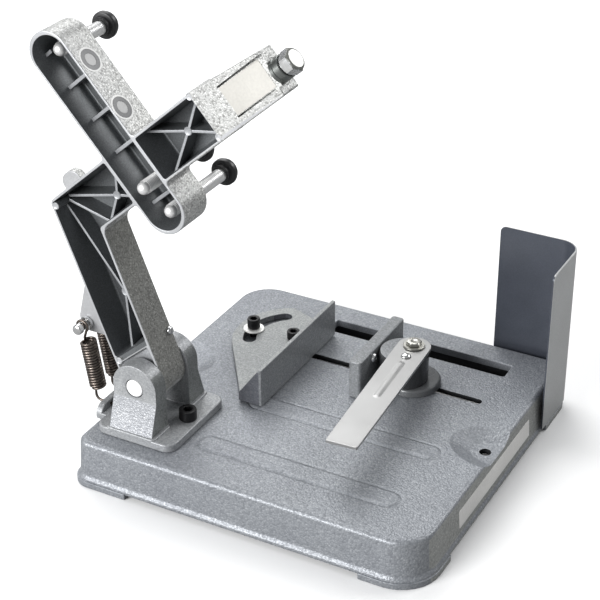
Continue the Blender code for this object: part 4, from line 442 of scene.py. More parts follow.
def skin(name, rings, looped=False, caps=(None, None)):
    """Closed body through rings of points; caps can say which faces close its two ends."""
    model = bmesh.new()
    rows = [[model.verts.new(world(point)) for point in ring] for ring in rings]
    pairs = list(zip(rows, rows[1:])) + ([(rows[-1], rows[0])] if looped else [])
    for low, high in pairs:
        for index in range(len(low)):
            after = (index + 1) % len(low)
            model.faces.new((low[index], low[after], high[after], high[index]))
    if not looped:
        for row, faces in zip((rows[0], rows[-1]), caps):
            for face in faces or [range(len(row))]:
                model.faces.new([row[index] for index in face])
    return add_body(name, model)


def stack(name, corners, stations, lay="flat", steps=8):
    """Body through one outline at (inset, height) stations."""
    place = LAYS[lay]
    return skin(name, [[place(point.x, point.y, height) for point in outline(corners, inset, steps)]
                       for inset, height in stations])


def quarter(radius):
    """(1 - sine, 1 - cosine) of a quarter turn, times the radius."""
    turns = [math.pi / 2 * step / 4 for step in range(5)]
    return [(radius * (1 - math.sin(turn)), radius * (1 - math.cos(turn))) for turn in turns]


def slab(name, corners, low, high, rims=(0.8, 0.8), lay="flat", steps=8):
    """Plate between two heights, with rounded rims."""
    bottom = [(inset, low + climb) for inset, climb in quarter(rims[0])]
    top = [(inset, high - climb) for inset, climb in quarter(rims[1])]
    return stack(name, corners, bottom + top[::-1], lay, steps)


def pocket(name, corners, mouth, floor, lip=0.7, fillet=1.5, draft=0.6, lay="flat", steps=8):
    """Cutter for a cast hollow: rounded lip, draft and filleted floor."""
    way = math.copysign(1, floor - mouth)
    stations = [(-lip, mouth - way * 3)] + [(-inset, mouth + way * climb) for inset, climb in quarter(lip)]
    for step in range(5 if fillet else 1):
        turn = math.pi / 2 * step / 4
        stations.append((draft + fillet * (1 - math.cos(turn)), floor - way * fillet * (1 - math.sin(turn))))
    return stack(name, corners, stations, lay, steps)


def box(name, low, high):
    corners = oblong(low[0], low[1], high[0], high[1], 0)
    return skin(name, [[(x, y, height) for x, y, radius in corners] for height in (low[2], high[2])])


print("lofts: skin, stack, slab, pocket, box")

# %% [markdown]
# A lathe makes its rings by turning a profile, and can press a ring to a hexagon for
# bolt heads and nuts. A drill is the plainest turned body, and serves as a cutter.

# %% Turned bodies


def hexagon_reach(flats, angle):
    return flats / 2 / math.cos((angle + math.pi / 6) % (math.pi / 3) - math.pi / 6)


def lathe(name, profile, place, axis=(0, 0, 1), steps=48, looped=False):
    """Turned body; a third number in a profile point is a hexagon's width across flats."""
    turn = Vector(axis).to_track_quat("Z", "Y")
    rings = []
    for radius, height, *flats in profile:
        ring = []
        for step in range(steps):
            angle = 2 * math.pi * step / steps
            reach = min(radius, hexagon_reach(flats[0], angle)) if flats else radius
            spot = Vector((reach * math.cos(angle), reach * math.sin(angle), height))
            ring.append(Vector(place) + turn @ spot)
        rings.append(ring)
    return skin(name, rings, looped)


def drill(name, start, end, radius, steps=32):
    """Plain round cutter between two points."""
    start, end = Vector(start), Vector(end)
    return lathe(name, [(radius, 0), (radius, (end - start).length)], start, end - start, steps)


print("turning: lathe, drill")

# %% [markdown]
# Bodies are cut and joined with Boolean modifiers, which are applied at once. Then a
# piece is dressed: its doubles are merged, its big faces are kept flat in shading, it
# gets its finish, and it is tied to the body that it rides on.

# %% Cut, join and dress


def apply_modifiers(piece):
    graph = bpy.context.evaluated_depsgraph_get()
    piece.data = bpy.data.meshes.new_from_object(piece.evaluated_get(graph))
    piece.modifiers.clear()
    return piece


def carve(body, tools, operation="DIFFERENCE"):
    """Cut away or join the tools, and keep the result as a plain mesh."""
    for tool in tools:
        change = body.modifiers.new(tool.name, "BOOLEAN")
        change.operation, change.solver, change.object = operation, "MANIFOLD", tool
    apply_modifiers(body)
    for tool in tools:
        bpy.data.objects.remove(tool, do_unlink=True)
    return body


def join(body, tools):
    return carve(body, tools, "UNION")


def paint_by_face(piece, finishes, rule):
    """Each face gets the finish that a rule picks from its place and its normal."""
    piece.data.materials.clear()
    for finish in finishes:
        piece.data.materials.append(finish)
    for face in piece.data.polygons:
        face.material_index = rule((face.center - STAND) / MM, face.normal)


def dress(piece, finish, rider, slot, *nodes):
    """Shade a piece, give it its finish if it has none, and tie it to the frame."""
    model = bmesh.new()
    model.from_mesh(piece.data)
    bmesh.ops.remove_doubles(model, verts=model.verts, dist=2e-6)
    bmesh.ops.dissolve_degenerate(model, edges=model.edges, dist=2e-6)
    open_edges = sum(1 for edge in model.edges if not edge.is_manifold)
    model.to_mesh(piece.data)
    model.free()
    if finish is not None:
        piece.data.materials.clear()
        piece.data.materials.append(finish)
    piece.data.shade_smooth()
    piece.data.set_sharp_from_angle(angle=math.radians(32))
    flat = piece.modifiers.new("Flat faces first", "WEIGHTED_NORMAL")
    flat.keep_sharp = True
    apply_modifiers(piece)
    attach(piece, rider)
    if nodes:
        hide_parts(*nodes)
    print(piece.name, len(piece.data.polygons), "faces,", open_edges, "open edges")
    return piece


print("tools to cut, join and dress are ready")

# %% [markdown]
# The base is pressed from sheet: a rolled rim, a wall with a little draft, a round
# crest and a flat top. One outline lofted through that section gives the shell, and
# a second loft hollows it. Angle-shaped pads under the corners are its feet. Pads
# and bosses thicken the sheet where bolts and screws go through.

# %% Base shell and feet
BASE_X, BASE_Y, TOP, CREST = 135.0, 130.8, 35.3, 3.4
TIGHT_CORNER, WIDE_CORNER = 13, 28
BOLT_X = 122.5
GUARD_SCREWS, GUARD_SCREW_Z = (82.0, 101.0), 18
base_plan = oblong(-BASE_X, -BASE_Y, BASE_X, BASE_Y, TIGHT_CORNER, WIDE_CORNER, TIGHT_CORNER, WIDE_CORNER)
section = [(2.2, 3.0), (0.9, 3.1), (0.25, 3.6), (0, 4.4), (0, 5.6), (0.3, 6.4), (0.9, 7.2), (1.5, 8.0),
           (1.75, 9.2), (2.5, 20), (3.2, TOP - CREST)]
for step in range(1, 9):
    turn = math.pi / 16 * step
    section.append((3.2 + CREST * (1 - math.cos(turn)), TOP - CREST * (1 - math.sin(turn))))
hollow = [(4.6, -1), (6.2, 26), (6.6, 28.5), (7.8, 30.6), (9.5, 31.3)]
base = stack("base_shell", base_plan, section, steps=14)
carve(base, [stack("hollow", base_plan, hollow, steps=14)])


def foot_plan(side_x, side_y, corner):
    """Angle-shaped pad under one corner of the rim."""
    out_x, out_y = BASE_X + 1.2, BASE_Y + 1.2
    in_x, in_y = BASE_X - 14, BASE_Y - 14
    end_x, end_y = BASE_X - 45, BASE_Y - 45
    plan = [(end_x, out_y, 1), (out_x, out_y, corner + 1.2), (out_x, end_y, 1),
            (in_x, end_y, 1), (in_x, in_y, max(corner - 14, 1.2)), (end_x, in_y, 1)]
    return [(side_x * x, side_y * y, radius) for x, y, radius in plan]


added = [slab("foot", foot_plan(side_x, side_y, corner), 0, 4.8, (0.7, 0.5))
         for side_x, side_y, corner in ((-1, -1, TIGHT_CORNER), (1, -1, WIDE_CORNER),
                                        (1, 1, TIGHT_CORNER), (-1, 1, WIDE_CORNER))]
added.append(box("slot_skirt", (-49, 85, 19.3), (103, 108, 33)))
added.append(box("bolt_pad_front", (98, -28.5, 25.3), (130.3, 28.5, 33)))
added.append(box("bolt_pad_rear", (-130.3, -28.5, 25.3), (-98, 28.5, 33)))
added += [drill("guard_boss", (x, BASE_Y - 8, GUARD_SCREW_Z), (x, BASE_Y - 0.2, GUARD_SCREW_Z), 6.5)
          for x in GUARD_SCREWS]
join(base, added)
print("base:", len(base.data.polygons), "faces with", len(added), "pads and feet")

# %% [markdown]
# Two long beads stiffen the top: each is a shallow valley with a raised crown in it.
# A recess at both ends takes a bench bolt. The disc slot, the T-slot and the screw
# holes go through. All of them are cutters on the same outlines.

# %% Beads, recesses and slots
FENCE_ARC, FENCE_PIVOT = 33.5, Vector((-58.5, 55.5))
FENCE_CLAMP = FENCE_PIVOT + polar(math.radians(183.7), FENCE_ARC)
BRACKET_SCREWS = ((-71.0, -76.0), (-117.0, -76.0))
BEADS = [oblong(start, middle - half, end, middle + half, half - 0.1)
         for start, end, middle, half in ((-56, 99.5, -87.2, 9.6), (-50, 100.5, -25.7, 9.4))]
valley = [(-1.5, 2), (-1.5, 0.02), (-0.7, -0.1), (0.1, -0.32), (0.7, -0.45), (1.2, -0.8)]
crown = [(0.7, -2), (0.75, -0.5), (1.1, -0.32), (1.8, 0.05), (2.7, 0.38), (3.9, 0.55)]
carve(base, [stack("bead_valley", plan, [(inset, TOP + lift) for inset, lift in valley]) for plan in BEADS])
join(base, [stack("bead", plan, [(inset, TOP + lift) for inset, lift in crown]) for plan in BEADS])


def recess_ring(side, reach, half, height):
    """Half ellipse, open to one end of the base."""
    ring = []
    for step in range(33):
        turn = math.pi * (step / 32 - 0.5)
        ring.append((side * (BASE_X - reach * math.cos(turn)), side * half * math.sin(turn), height))
    return ring + [(side * 170, side * half, height), (side * 170, -side * half, height)]


recess_section = ((38.4, 26.9, 40), (38.4, 26.9, TOP + 0.02), (37.4, 25.9, TOP - 0.15),
                  (36.3, 24.9, TOP - 0.7), (25.6, 14.6, 30), (24.4, 13.5, 29.5), (23, 12, 29.3))
cuts = [skin("recess", [recess_ring(side, *station) for station in recess_section]) for side in (1, -1)]
cuts += [drill("bolt_hole", (side * BOLT_X, 0, -1), (side * BOLT_X, 0, 40), 4.2) for side in (1, -1)]
cuts.append(pocket("disc_slot", oblong(-46, 88, 100, 105, 2), TOP, TOP - 6, 0.9, 0, 0))
cuts.append(box("slot_relief", (-47.2, 86.8, -2), (101.2, 106.2, TOP - 5.6)))
cuts.append(pocket("t_slot", oblong(-39, 45.2, 99, 51.8, 3.2), TOP, 28, 0.5, 0, 0))
cuts += [drill("screw_hole", (x, y, 20), (x, y, 40), radius) for (x, y), radius in
         zip((*BRACKET_SCREWS, FENCE_PIVOT, FENCE_CLAMP), (4.3, 4.3, 3.3, 3.3))]
cuts += [drill("guard_hole", (x, 110, GUARD_SCREW_Z), (x, 140, GUARD_SCREW_Z), 2.8, 24) for x in GUARD_SCREWS]
carve(base, cuts)
print("base:", len(base.data.polygons), "faces after", len(cuts), "cuts")

# %% [markdown]
# The slot walls are painted darker, and deep down and in the bolt holes black, as
# painted shade. The right wall gets a paler copy of the paint as painted light. So
# each face is sorted by where it lies.

# %% Base finishes by face


def base_zone(spot, normal):
    """0 top and walls, 1 slot wall in painted shade, 2 painted black shade deep in a slot or hole, 3 right
    wall in painted light.
    """
    if normal.x > 0.95 and spot.x > BASE_X - 4:
        return 3
    slotted = -50 < spot.x < 104 and (42 < spot.y < 55 or 86 < spot.y < 107)
    wall = abs(normal.z) < 0.5 and 19 < spot.z < TOP - 0.4
    deep = slotted and (spot.z < TOP - 6 or spot.y < 60)
    in_hole = Vector((abs(spot.x) - BOLT_X, spot.y)).length < 4.4
    return 2 if wall and (deep or in_hole) else int(wall and slotted)


paint_by_face(base, (BASE_PAINT, SLOT_PAINTED_SHADE, DEEP_PAINTED_SHADE, RIGHT_WALL_PAINTED_LIGHT), base_zone)
dress(base, None, "stand", "hammered_paint", "base_pan")

# %% [markdown]
# The right wall carries a long pale strip where a plate of data would be. It is left
# blank here: a thin rounded sheet that follows the slope of the wall.

# %% Blank strip on the right wall
WALL_INSET, WALL_FOOT, WALL_DRAFT = 1.75, 9.2, 1.45 / 20.9
STRIP_FILM = fine_paint("strip_film", (0.8, 0.792, 0.77), 0.42, 0.1, 1.2, 0.06, 0.05)


def wall_sheet(y, z, lift):
    """A point on the drafted right wall, lifted off it."""
    inset = WALL_INSET + (z - WALL_FOOT) * WALL_DRAFT
    return (BASE_X - inset + lift, y, z)


strip_plan = oblong(-67, 12, 58, 25.5, 1.2)
strip = skin("blank_strip", [[wall_sheet(p.x, p.y, lift) for p in outline(strip_plan, inset)]
                             for inset, lift in ((0, -0.2), (0, 0.18), (0.1, 0.25))])
dress(strip, STRIP_FILM, "stand", "hammered_paint")

# %% [markdown]
# The pivot bracket has two ears whose feet flare outwards. Each ear is lofted across
# its thickness. The flare is where its outer face changes slope, so the two slopes
# get a face each.

# %% Ears of the bracket
ARM_Y, PIN_X, PIN_Z = -76.0, -96.0, 74.0
PLATE_LOW, PLATE_TOP, BEND_Z = 35.6, 41.3, 65.0
EAR_IN, EAR_OUT, FLARE, EAR_HALF, EAR_STEPS = 14.3, 27.3, 8.0, 17.5, 28


def ear_ring(side, inset, depth_of):
    """Outline of an ear; its depth may change with height."""
    half = EAR_HALF - inset
    turns = [math.pi * step / EAR_STEPS for step in range(EAR_STEPS + 1)]
    plan = [(-half, PLATE_LOW + 2), (-half, BEND_Z)]
    plan += [(-half * math.cos(turn), PIN_Z + half * math.sin(turn)) for turn in turns]
    plan += [(half, BEND_Z), (half, PLATE_LOW + 2)]
    return [(PIN_X + x, ARM_Y + side * depth_of(z), z) for x, z in plan]


def ear(name, side):
    def outer(drop):
        return lambda z: EAR_OUT - drop + FLARE * max(0, (BEND_Z - z) / (BEND_Z - PLATE_TOP))

    rings = [ear_ring(side, inset, lambda z, climb=climb: EAR_IN + climb) for inset, climb in quarter(0.4)]
    rings += [ear_ring(side, inset, outer(climb)) for inset, climb in quarter(0.6)[::-1]]
    return skin(name, rings, caps=(None, [(0, 1, -2, -1), range(1, len(rings[0]) - 1)]))


ears = [ear("near_ear", -1), ear("far_ear", 1)]
print("ears:", [len(piece.data.polygons) for piece in ears], "faces")

# %% [markdown]
# The rest of the casting is a thick plate, pads under the ears, and a tab at the back
# that the springs hook into. The flares catch more spray; the right sides of the ears
# get a darker copy of the paint as painted shade.

# %% Pivot bracket
TAB_HALF, HOOK_Y, HOOK_Z = 23, 10, 42.4
plate = slab("bracket_shell", oblong(-125, -112.5, -62, -39.5, 8), PLATE_LOW, PLATE_TOP, (0.5, 1.1))
tab = slab("tab", oblong(ARM_Y - TAB_HALF, PLATE_LOW, ARM_Y + TAB_HALF, 46.2, 1.2, 1.2, 8, 8),
           -133.5, -128.5, (0.9, 0.9), "end")
tongue = slab("tongue", oblong(-131, ARM_Y - TAB_HALF, -118, ARM_Y + TAB_HALF, 1),
              PLATE_LOW, PLATE_TOP - 0.4, (0.5, 0.6))
pads = [slab("ear_pad", oblong(PIN_X - 20, y - 11.5, PIN_X + 20, y + 11.2, 3),
             PLATE_TOP - 2, PLATE_TOP + 1.1, (0.3, 0.9)) for y in (ARM_Y - 25, ARM_Y + 25)]
join(plate, ears + [tab, tongue] + pads)
holes = [drill("bore", (PIN_X, ARM_Y - 40, PIN_Z), (PIN_X, ARM_Y + 40, PIN_Z), 7.2, 48)]
holes += [drill("plate_hole", (x, y, 30), (x, y, 50), 4.3) for x, y in BRACKET_SCREWS]
holes += [drill("tab_hole", (-137, y, HOOK_Z), (-124, y, HOOK_Z), 2.2, 24)
          for y in (ARM_Y - HOOK_Y, ARM_Y + HOOK_Y)]
carve(plate, holes)


def bracket_zone(spot, normal):
    """0 plate and ears, 1 flare, 2 right side of the ears in painted shade."""
    above = spot.z > PLATE_TOP + 1
    if abs(normal.y) > 0.7 and above and spot.z < BEND_Z and abs(spot.y - ARM_Y) > EAR_OUT:
        return 1
    return 2 if normal.x > 0.8 and above and spot.x > PIN_X else 0


paint_by_face(plate, (EAR_PAINT, FLARE_PAINT, EAR_PAINTED_SHADE), bracket_zone)
dress(plate, None, "stand", "hammered_paint", "pivot_bracket")

# %% [markdown]
# The pin goes through both ears and the arm. It is turned, with rounded ends that
# just show in the bores.

# %% Pivot pin
PIN_HALF = 27.6
edge_round = [(0, 0), (5.4, 0), (5.9, 0.1), (6.3, 0.4), (6.5, 0.9)]
pin_profile = [(radius, drop - PIN_HALF) for radius, drop in edge_round]
pin_profile += [(radius, PIN_HALF - drop) for radius, drop in edge_round[::-1]]
pin = lathe("pin_shell", pin_profile, (PIN_X, ARM_Y, PIN_Z), (0, -1, 0))
dress(pin, PIN_STEEL, "stand", "bright_steel", "pivot_pin")

# %% [markdown]
# The swing arm is one casting with deep pockets. Its outline has a lower leg, an upper
# leg and a long oval tray across it. Each leg has its own directions, so a corner is
# given along and across the leg that it belongs to.

# %% Swing arm outline
LEAN, TILT = math.radians(21.6), math.radians(41.2)
LEG_UP, LEG_SIDE = Vector((-math.sin(LEAN), math.cos(LEAN))), polar(LEAN)
OUT, DOWN = polar(TILT), Vector((math.sin(TILT), -math.cos(TILT)))
PIN, CROSS = Vector((PIN_X, PIN_Z)), Vector((PIN_X + 1.2, PIN_Z + 158.5))
FRONT, BACK, FLOOR = -90.0, -62.0, -65.5
LEG_BACK, LEG_FRONT, HALF, TRAY = 19.5, 15.4, 17.9, 15.9
WALL, END_START, END_REACH, END_TOP = 1.8, 75.0, 132.5, 12.4
HUB = (LEG_BACK + LEG_FRONT) / 2


def leg(along, side):
    """Point on the lower leg, in X and Z."""
    return PIN + LEG_UP * along + LEG_SIDE * side


def upper(along, down):
    """Point on the upper leg, in X and Z, from its crossing with the tray."""
    return CROSS + OUT * along + DOWN * down


def at(point, y):
    """A point in X and Z, put at a depth."""
    return Vector((point.x, y, point.y))


def meet(point, way, other, other_way):
    gap, turn = other - point, way.x * other_way.y - way.y * other_way.x
    return point + way * ((gap.x * other_way.y - gap.y * other_way.x) / turn)


def bend_points(inset):
    """Elbow and crook between the legs, drawn in by an inset."""
    elbow = meet(leg(0, inset - LEG_BACK), LEG_UP, upper(0, inset - HALF), OUT)
    crook = meet(leg(0, LEG_FRONT - inset), LEG_UP, upper(0, HALF - inset), OUT)
    return elbow, crook


elbow, crook = bend_points(0)
hub_round, tray_round = HUB * 0.99, TRAY * 0.99
arm_plan = placed(leg, [(-HUB, -LEG_BACK, hub_round), (-HUB, LEG_FRONT, hub_round)]) + [(*crook, 9)]
arm_plan += placed(upper, [
    (-TRAY, HALF, 3), (-TRAY, 48.2, tray_round), (TRAY, 48.2, tray_round), (TRAY, HALF, 3),
    (END_REACH, HALF, 1.4), (END_REACH, -END_TOP, 1.4), (END_START, -HALF, 3), (TRAY, -HALF, 3),
    (TRAY, -107.1, tray_round), (-TRAY, -107.1, tray_round), (-TRAY, -HALF, 3)]) + [(*elbow, 4.5)]
arm = slab("arm_shell", arm_plan, FRONT, BACK, (0.8, 0.8), "upright", 16)
print("arm:", len(arm_plan), "corners")

# %% [markdown]
# Three deep pockets lighten the casting, with draft and round lips, so that it comes
# out of its mould. The face of the hub is sunk a little, and so is the cross wall
# between hub and leg.

# %% Pockets of the arm
HUB_RIM = 1.9
inner_elbow, inner_crook = bend_points(WALL)
inner, side, tray = HALF - WALL, TRAY + WALL / 2, TRAY - WALL
hub_left, hub_right = HUB_RIM - LEG_BACK, LEG_FRONT - HUB_RIM
leg_plan = placed(leg, [(17.6, WALL - LEG_BACK, 2.5), (28.4, LEG_FRONT - WALL, 2.5)]) + [(*inner_crook, 3)]
leg_plan += placed(upper, [(-side, inner, 1.6), (-side, -inner, 1.6)]) + [(*inner_elbow, 1.6)]
POCKETS = {"tray_pocket": placed(upper, oblong(-tray, 45.2, tray, -104.1, tray * 0.98)),
           "cell_pocket": placed(upper, oblong(side, inner, END_START - WALL, -inner, 1.6)),
           "leg_pocket": leg_plan}
hub_plan = placed(leg, [(13.6, hub_left, 2), (24.2, hub_right, 2), (0, hub_right, 4), (0, hub_left, 4)])
cross_plan = placed(leg, [(14.4, hub_left, 0.6), (25, hub_right, 0.6), (29.4, hub_right, 0.6),
                          (18.8, hub_left, 0.6)])
carve(arm, [pocket(name, plan, FRONT, FLOOR, 0.4, 1.6, 1.6, "upright", 12) for name, plan in POCKETS.items()])
carve(arm, [pocket("hub_face", hub_plan, FRONT, FRONT + 3, 0.5, 1, 0.4, "upright")])
carve(arm, [pocket("cross_wall", cross_plan, FRONT, FRONT + 2, 0, 0, 0, "upright")])
print("arm:", len(arm.data.polygons), "faces after", len(POCKETS), "pockets")

# %% [markdown]
# The end of the arm is thinner: it is stepped at the back, hollow from behind, and its
# front face sinks towards the tip between two flanges, where a blank plate lies.

# %% End of the arm
SINK_START, SINK_RATE, STEP_Y = 93.0, 0.12, -72


def solid_of(name, points, low, high):
    """Upright prism over points in X and Z."""
    return skin(name, [[at(point, y) for point in points] for y in (low, high)])


def bar(start, end, half):
    """Corners of a straight bar between two points in X and Z."""
    way = (end - start).normalized()
    off = Vector((-way.y, way.x)) * half
    return [start - off, end - off, end + off, start + off]


def end_face(along, down, lift=0.0):
    """Point on the sinking front face at the end of the arm."""
    return at(upper(along, down), FRONT + max(0, along - SINK_START) * SINK_RATE - lift)


sink_rings = []
for along in (SINK_START, END_REACH + 4):
    near, far = upper(along, -10.6), upper(along, 12.2)
    depth = FRONT + (along - SINK_START) * SINK_RATE
    sink_rings.append([at(near, FRONT - 4), at(far, FRONT - 4), at(far, depth), at(near, depth)])
beyond_step = [upper(78, 40), upper(260, 40), upper(260, -40), upper(78, -40)]
end_plan = placed(upper, oblong(81, 14.9, 116, -9.4, 1.6))
carve(arm, [solid_of("end_step", beyond_step, STEP_Y, -40)])
carve(arm, [pocket("end_hollow", end_plan, STEP_Y, -83.5, 0.6, 1.4, 0.4, "upright"),
            skin("sunk_face", sink_rings)])
carve(arm, [solid_of("flange_line", bar(upper(94.5, down), upper(127, down), 0.6), FRONT - 2, FRONT + 5.5)
            for down in (-10.1, 11.7)])
print("arm:", len(arm.data.polygons), "faces with its end")

# %% [markdown]
# Thin ribs cross in the pockets and meet at round bosses, where pins push the casting
# out of its mould. The ribs run out low before they reach the elbow.

# %% Ribs and bosses
RIB_RISE, LOW_RISE = 13, 5.3


def rib(name, start, end, thin=0.85, top=FLOOR - RIB_RISE):
    """Thin cast rib that thickens towards the floor of the pocket."""
    rings = [(thin + 0.5, FLOOR + 1.5), (thin + 0.1, top + 0.5), (thin, top + 0.12), (thin - 0.2, top)]
    return skin(name, [[at(point, y) for point in bar(start, end, half)] for half, y in rings])


def boss(name, place, top, radius=3.0):
    """Round ejector boss with a shallow dimple."""
    height = FLOOR + 1 - top
    profile = [(0, height - 0.35), (radius - 1.1, height - 0.3), (radius - 0.7, height - 0.05),
               (radius - 0.45, height), (radius, height - 0.4), (radius + 0.3, 0), (0, 0)]
    return lathe(name, profile, at(place, FLOOR + 1), (0, -1, 0), 28)


mid = HALF - WALL / 2
cell_start, cell_end = TRAY + WALL / 4, END_START - WALL / 2
cell_boss = upper((cell_start + cell_end) / 2 + 1.5, 0)
left_boss, leg_boss = upper(-34.9, 5.4), leg(61.9, 3.2)
rib_elbow, rib_crook = bend_points(WALL / 2)


def short_of_elbow(start):
    return rib_elbow + (start - rib_elbow).normalized() * 7


spokes = [(cell_boss, upper(along, down)) for along in (cell_start, cell_end) for down in (-mid, mid)]
spokes += [(left_boss, short_of_elbow(left_boss)), (left_boss, rib_crook)]
spokes += [(left_boss, upper(-cell_start, down)) for down in (-mid, mid)]
spokes += [(start, short_of_elbow(start)) for start in (rib_crook, leg_boss)] + [(leg_boss, leg(18, -11))]
join(arm, [rib("rib_%d" % index, start, end) for index, (start, end) in enumerate(spokes)]
     + [rib("low_rib", short_of_elbow(start), rib_elbow + LEG_UP * 0.6, top=FLOOR - LOW_RISE)
        for start in (left_boss, rib_crook, leg_boss)])
rim_bosses = [upper(72.9, -16), upper(73.1, 14.6), leg(133.8, -16.2), leg(16, -16.2)]
join(arm, [boss("boss", place, FLOOR - RIB_RISE - 0.4) for place in (cell_boss, left_boss, leg_boss)]
     + [boss("rim_boss", place, FRONT - 0.1, 2.6) for place in rim_bosses])
print("arm:", len(arm.data.polygons), "faces after", len(spokes), "ribs")

# %% [markdown]
# What repeats or follows a path is made with Geometry Nodes. Every tree starts with
# named inputs, and ends by making its instances real and setting the finish. It is
# run once on a piece, and the piece keeps a plain mesh.

# %% Node trees


def new_tree(name, **inputs):
    """Node tree with named inputs and one output; gives the tree and its inputs."""
    tree = bpy.data.node_groups.new(name, "GeometryNodeTree")
    for key, kind in {"Geometry": "Geometry", **inputs, "Finish": "Material"}.items():
        tree.interface.new_socket(key.replace("_", " "), in_out="INPUT", socket_type="NodeSocket" + kind)
    tree.interface.new_socket("Geometry", in_out="OUTPUT", socket_type="NodeSocketGeometry")
    return tree, node(tree, "NodeGroupInput").outputs


def end_tree(tree, shape, finish):
    """Make the instances real, set the finish and send the shape out."""
    real = node(tree, "GeometryNodeRealizeInstances", {"Geometry": shape})
    done = node(tree, "GeometryNodeSetMaterial", {"Geometry": real.outputs[0], "Material": finish})
    node(tree, "NodeGroupOutput", {"Geometry": done.outputs[0]})
    return tree


def socket_key(tree, name):
    return next(item.identifier for item in tree.interface.items_tree
                if item.name == name and item.in_out == "INPUT")


def settle(piece, tree, **inputs):
    """Run a node tree on a piece with the inputs given, and keep a plain mesh."""
    made = piece.modifiers.new(tree.name, "NODES")
    made.node_group = tree
    for name, value in inputs.items():
        made[socket_key(tree, name.replace("_", " "))] = value
    return apply_modifiers(piece)


print("node tree tools: new_tree, end_tree, settle")

# %% [markdown]
# Inside the tray, short walls repeat at set places. One wall is instanced on a row of
# points, and the result is joined to the casting. The same small tree places every
# mark, nut and screw that comes more than once.

# %% Walls in the tray


def repeat_tree():
    tree, start = new_tree("repeat_on_points", Pattern="Object")
    shape = node(tree, "GeometryNodeObjectInfo", {"Object": start["Pattern"]})
    copies = node(tree, "GeometryNodeInstanceOnPoints", {"Points": start["Geometry"],
                                                        "Instance": shape.outputs["Geometry"]})
    return end_tree(tree, copies.outputs["Instances"], start["Finish"])


REPEAT = repeat_tree()


def repeated(name, pattern, offsets, finish):
    """Copies of a pattern at offsets in millimetres, as one mesh."""
    mesh = bpy.data.meshes.new(name)
    mesh.from_pydata([tuple(Vector(offset) * MM) for offset in offsets], [], [])
    group = settle(add(name, mesh), REPEAT, Pattern=pattern, Finish=finish)
    bpy.data.objects.remove(pattern, do_unlink=True)
    return group


OUT3, DOWN3 = at(OUT, 0), at(DOWN, 0)
TRAY_WALLS, WALL_THIN = (-68.4, -42.8, -17.2, 23.45), 1.15
reach, first = TRAY - WALL / 2, TRAY_WALLS[0]
wall_rib = rib("tray_rib", upper(-reach, first), upper(reach, first), WALL_THIN)
tray_ribs = repeated("tray_ribs", wall_rib, [DOWN3 * (down - first) for down in TRAY_WALLS], RIB_PAINTED_LIGHT)
join(arm, [tray_ribs, rib("short_rib", upper(-reach, -94), upper(-reach + 8, -94), WALL_THIN)])
print("tray walls:", len(TRAY_WALLS), "and a short one")

# %% [markdown]
# A fin on the back of the leg carries the spring post, and a round lug stands on the
# upper leg. The bores and the tray's slot are cut last, so they pass through
# everything that was joined.

# %% Fin, lug and bores
POST_UP, POST_OFF, TIP = 43.7, -LEG_BACK - 20.2, 5.4
POST = leg(POST_UP, POST_OFF)
BOLT_FACE = at(upper(END_REACH, 4), FRONT + 9)
STOP_Y, STOP_UP = BACK - 3.1, 24
stop_in, stop_out = (at(leg(STOP_UP, LEG_FRONT + off), STOP_Y) for off in (-6, 3))
root = 1.5 - LEG_BACK
fin_plan = placed(leg, [(87.4, root, 1), (POST_UP + TIP, POST_OFF - TIP, TIP * 0.85),
                        (POST_UP - TIP, POST_OFF - TIP, TIP * 0.85), (POST_UP - 3 * TIP, root, 1)])
lug_plan = placed(upper, oblong(-68.5, 1.5 - HALF, -51.5, -HALF - 9, 1, 1, 7, 7))
slot_plan = placed(upper, oblong(-5.1, 39.6, 5.1, -96.2, 5))
join(arm, [slab(name, plan, ARM_Y - 3.5, ARM_Y + 3.5, (1, 1), "upright")
           for name, plan in (("fin", fin_plan), ("lug", lug_plan))])
carve(arm, [drill("arm_bore", (PIN_X, FRONT - 3, PIN_Z), (PIN_X, BACK + 3, PIN_Z), 6.8, 48),
            drill("post_hole", at(POST, ARM_Y - 7), at(POST, ARM_Y + 7), 3.3),
            drill("bolt_hole", BOLT_FACE - OUT3 * 11.3, BOLT_FACE + OUT3 * 14, 4.3),
            drill("spot_face", BOLT_FACE - OUT3 * 0.5, BOLT_FACE + OUT3 * 14, 9.6, 64),
            drill("stop_hole", stop_in, stop_out, 1.8, 24),
            pocket("tray_slot", slot_plan, BACK, FLOOR - 3, 0.6, 0, 0, "upright")])
print("arm:", len(arm.data.polygons), "faces when finished")

# %% [markdown]
# The paint is palest on the outer band. The leg's side face gets a dark olive copy of it
# as painted shade, and the pockets a charcoal one as painted shade. The rims get a pale
# coat as painted highlight, and the rib tops, slot walls and hub face a lighter one as
# painted light. Each face is sorted by where it lies.

# %% Arm finishes by face
POCKET_RINGS = [[tuple(point) for point in outline(plan, -0.3, 12)] for plan in POCKETS.values()]


def inside(ring, u, v):
    """Is a point inside an outline?"""
    within = False
    for (x0, y0), (x1, y1) in zip(ring, ring[1:] + ring[:1]):
        if (y0 > v) != (y1 > v) and u < x0 + (v - y0) / (y1 - y0) * (x1 - x0):
            within = not within
    return within


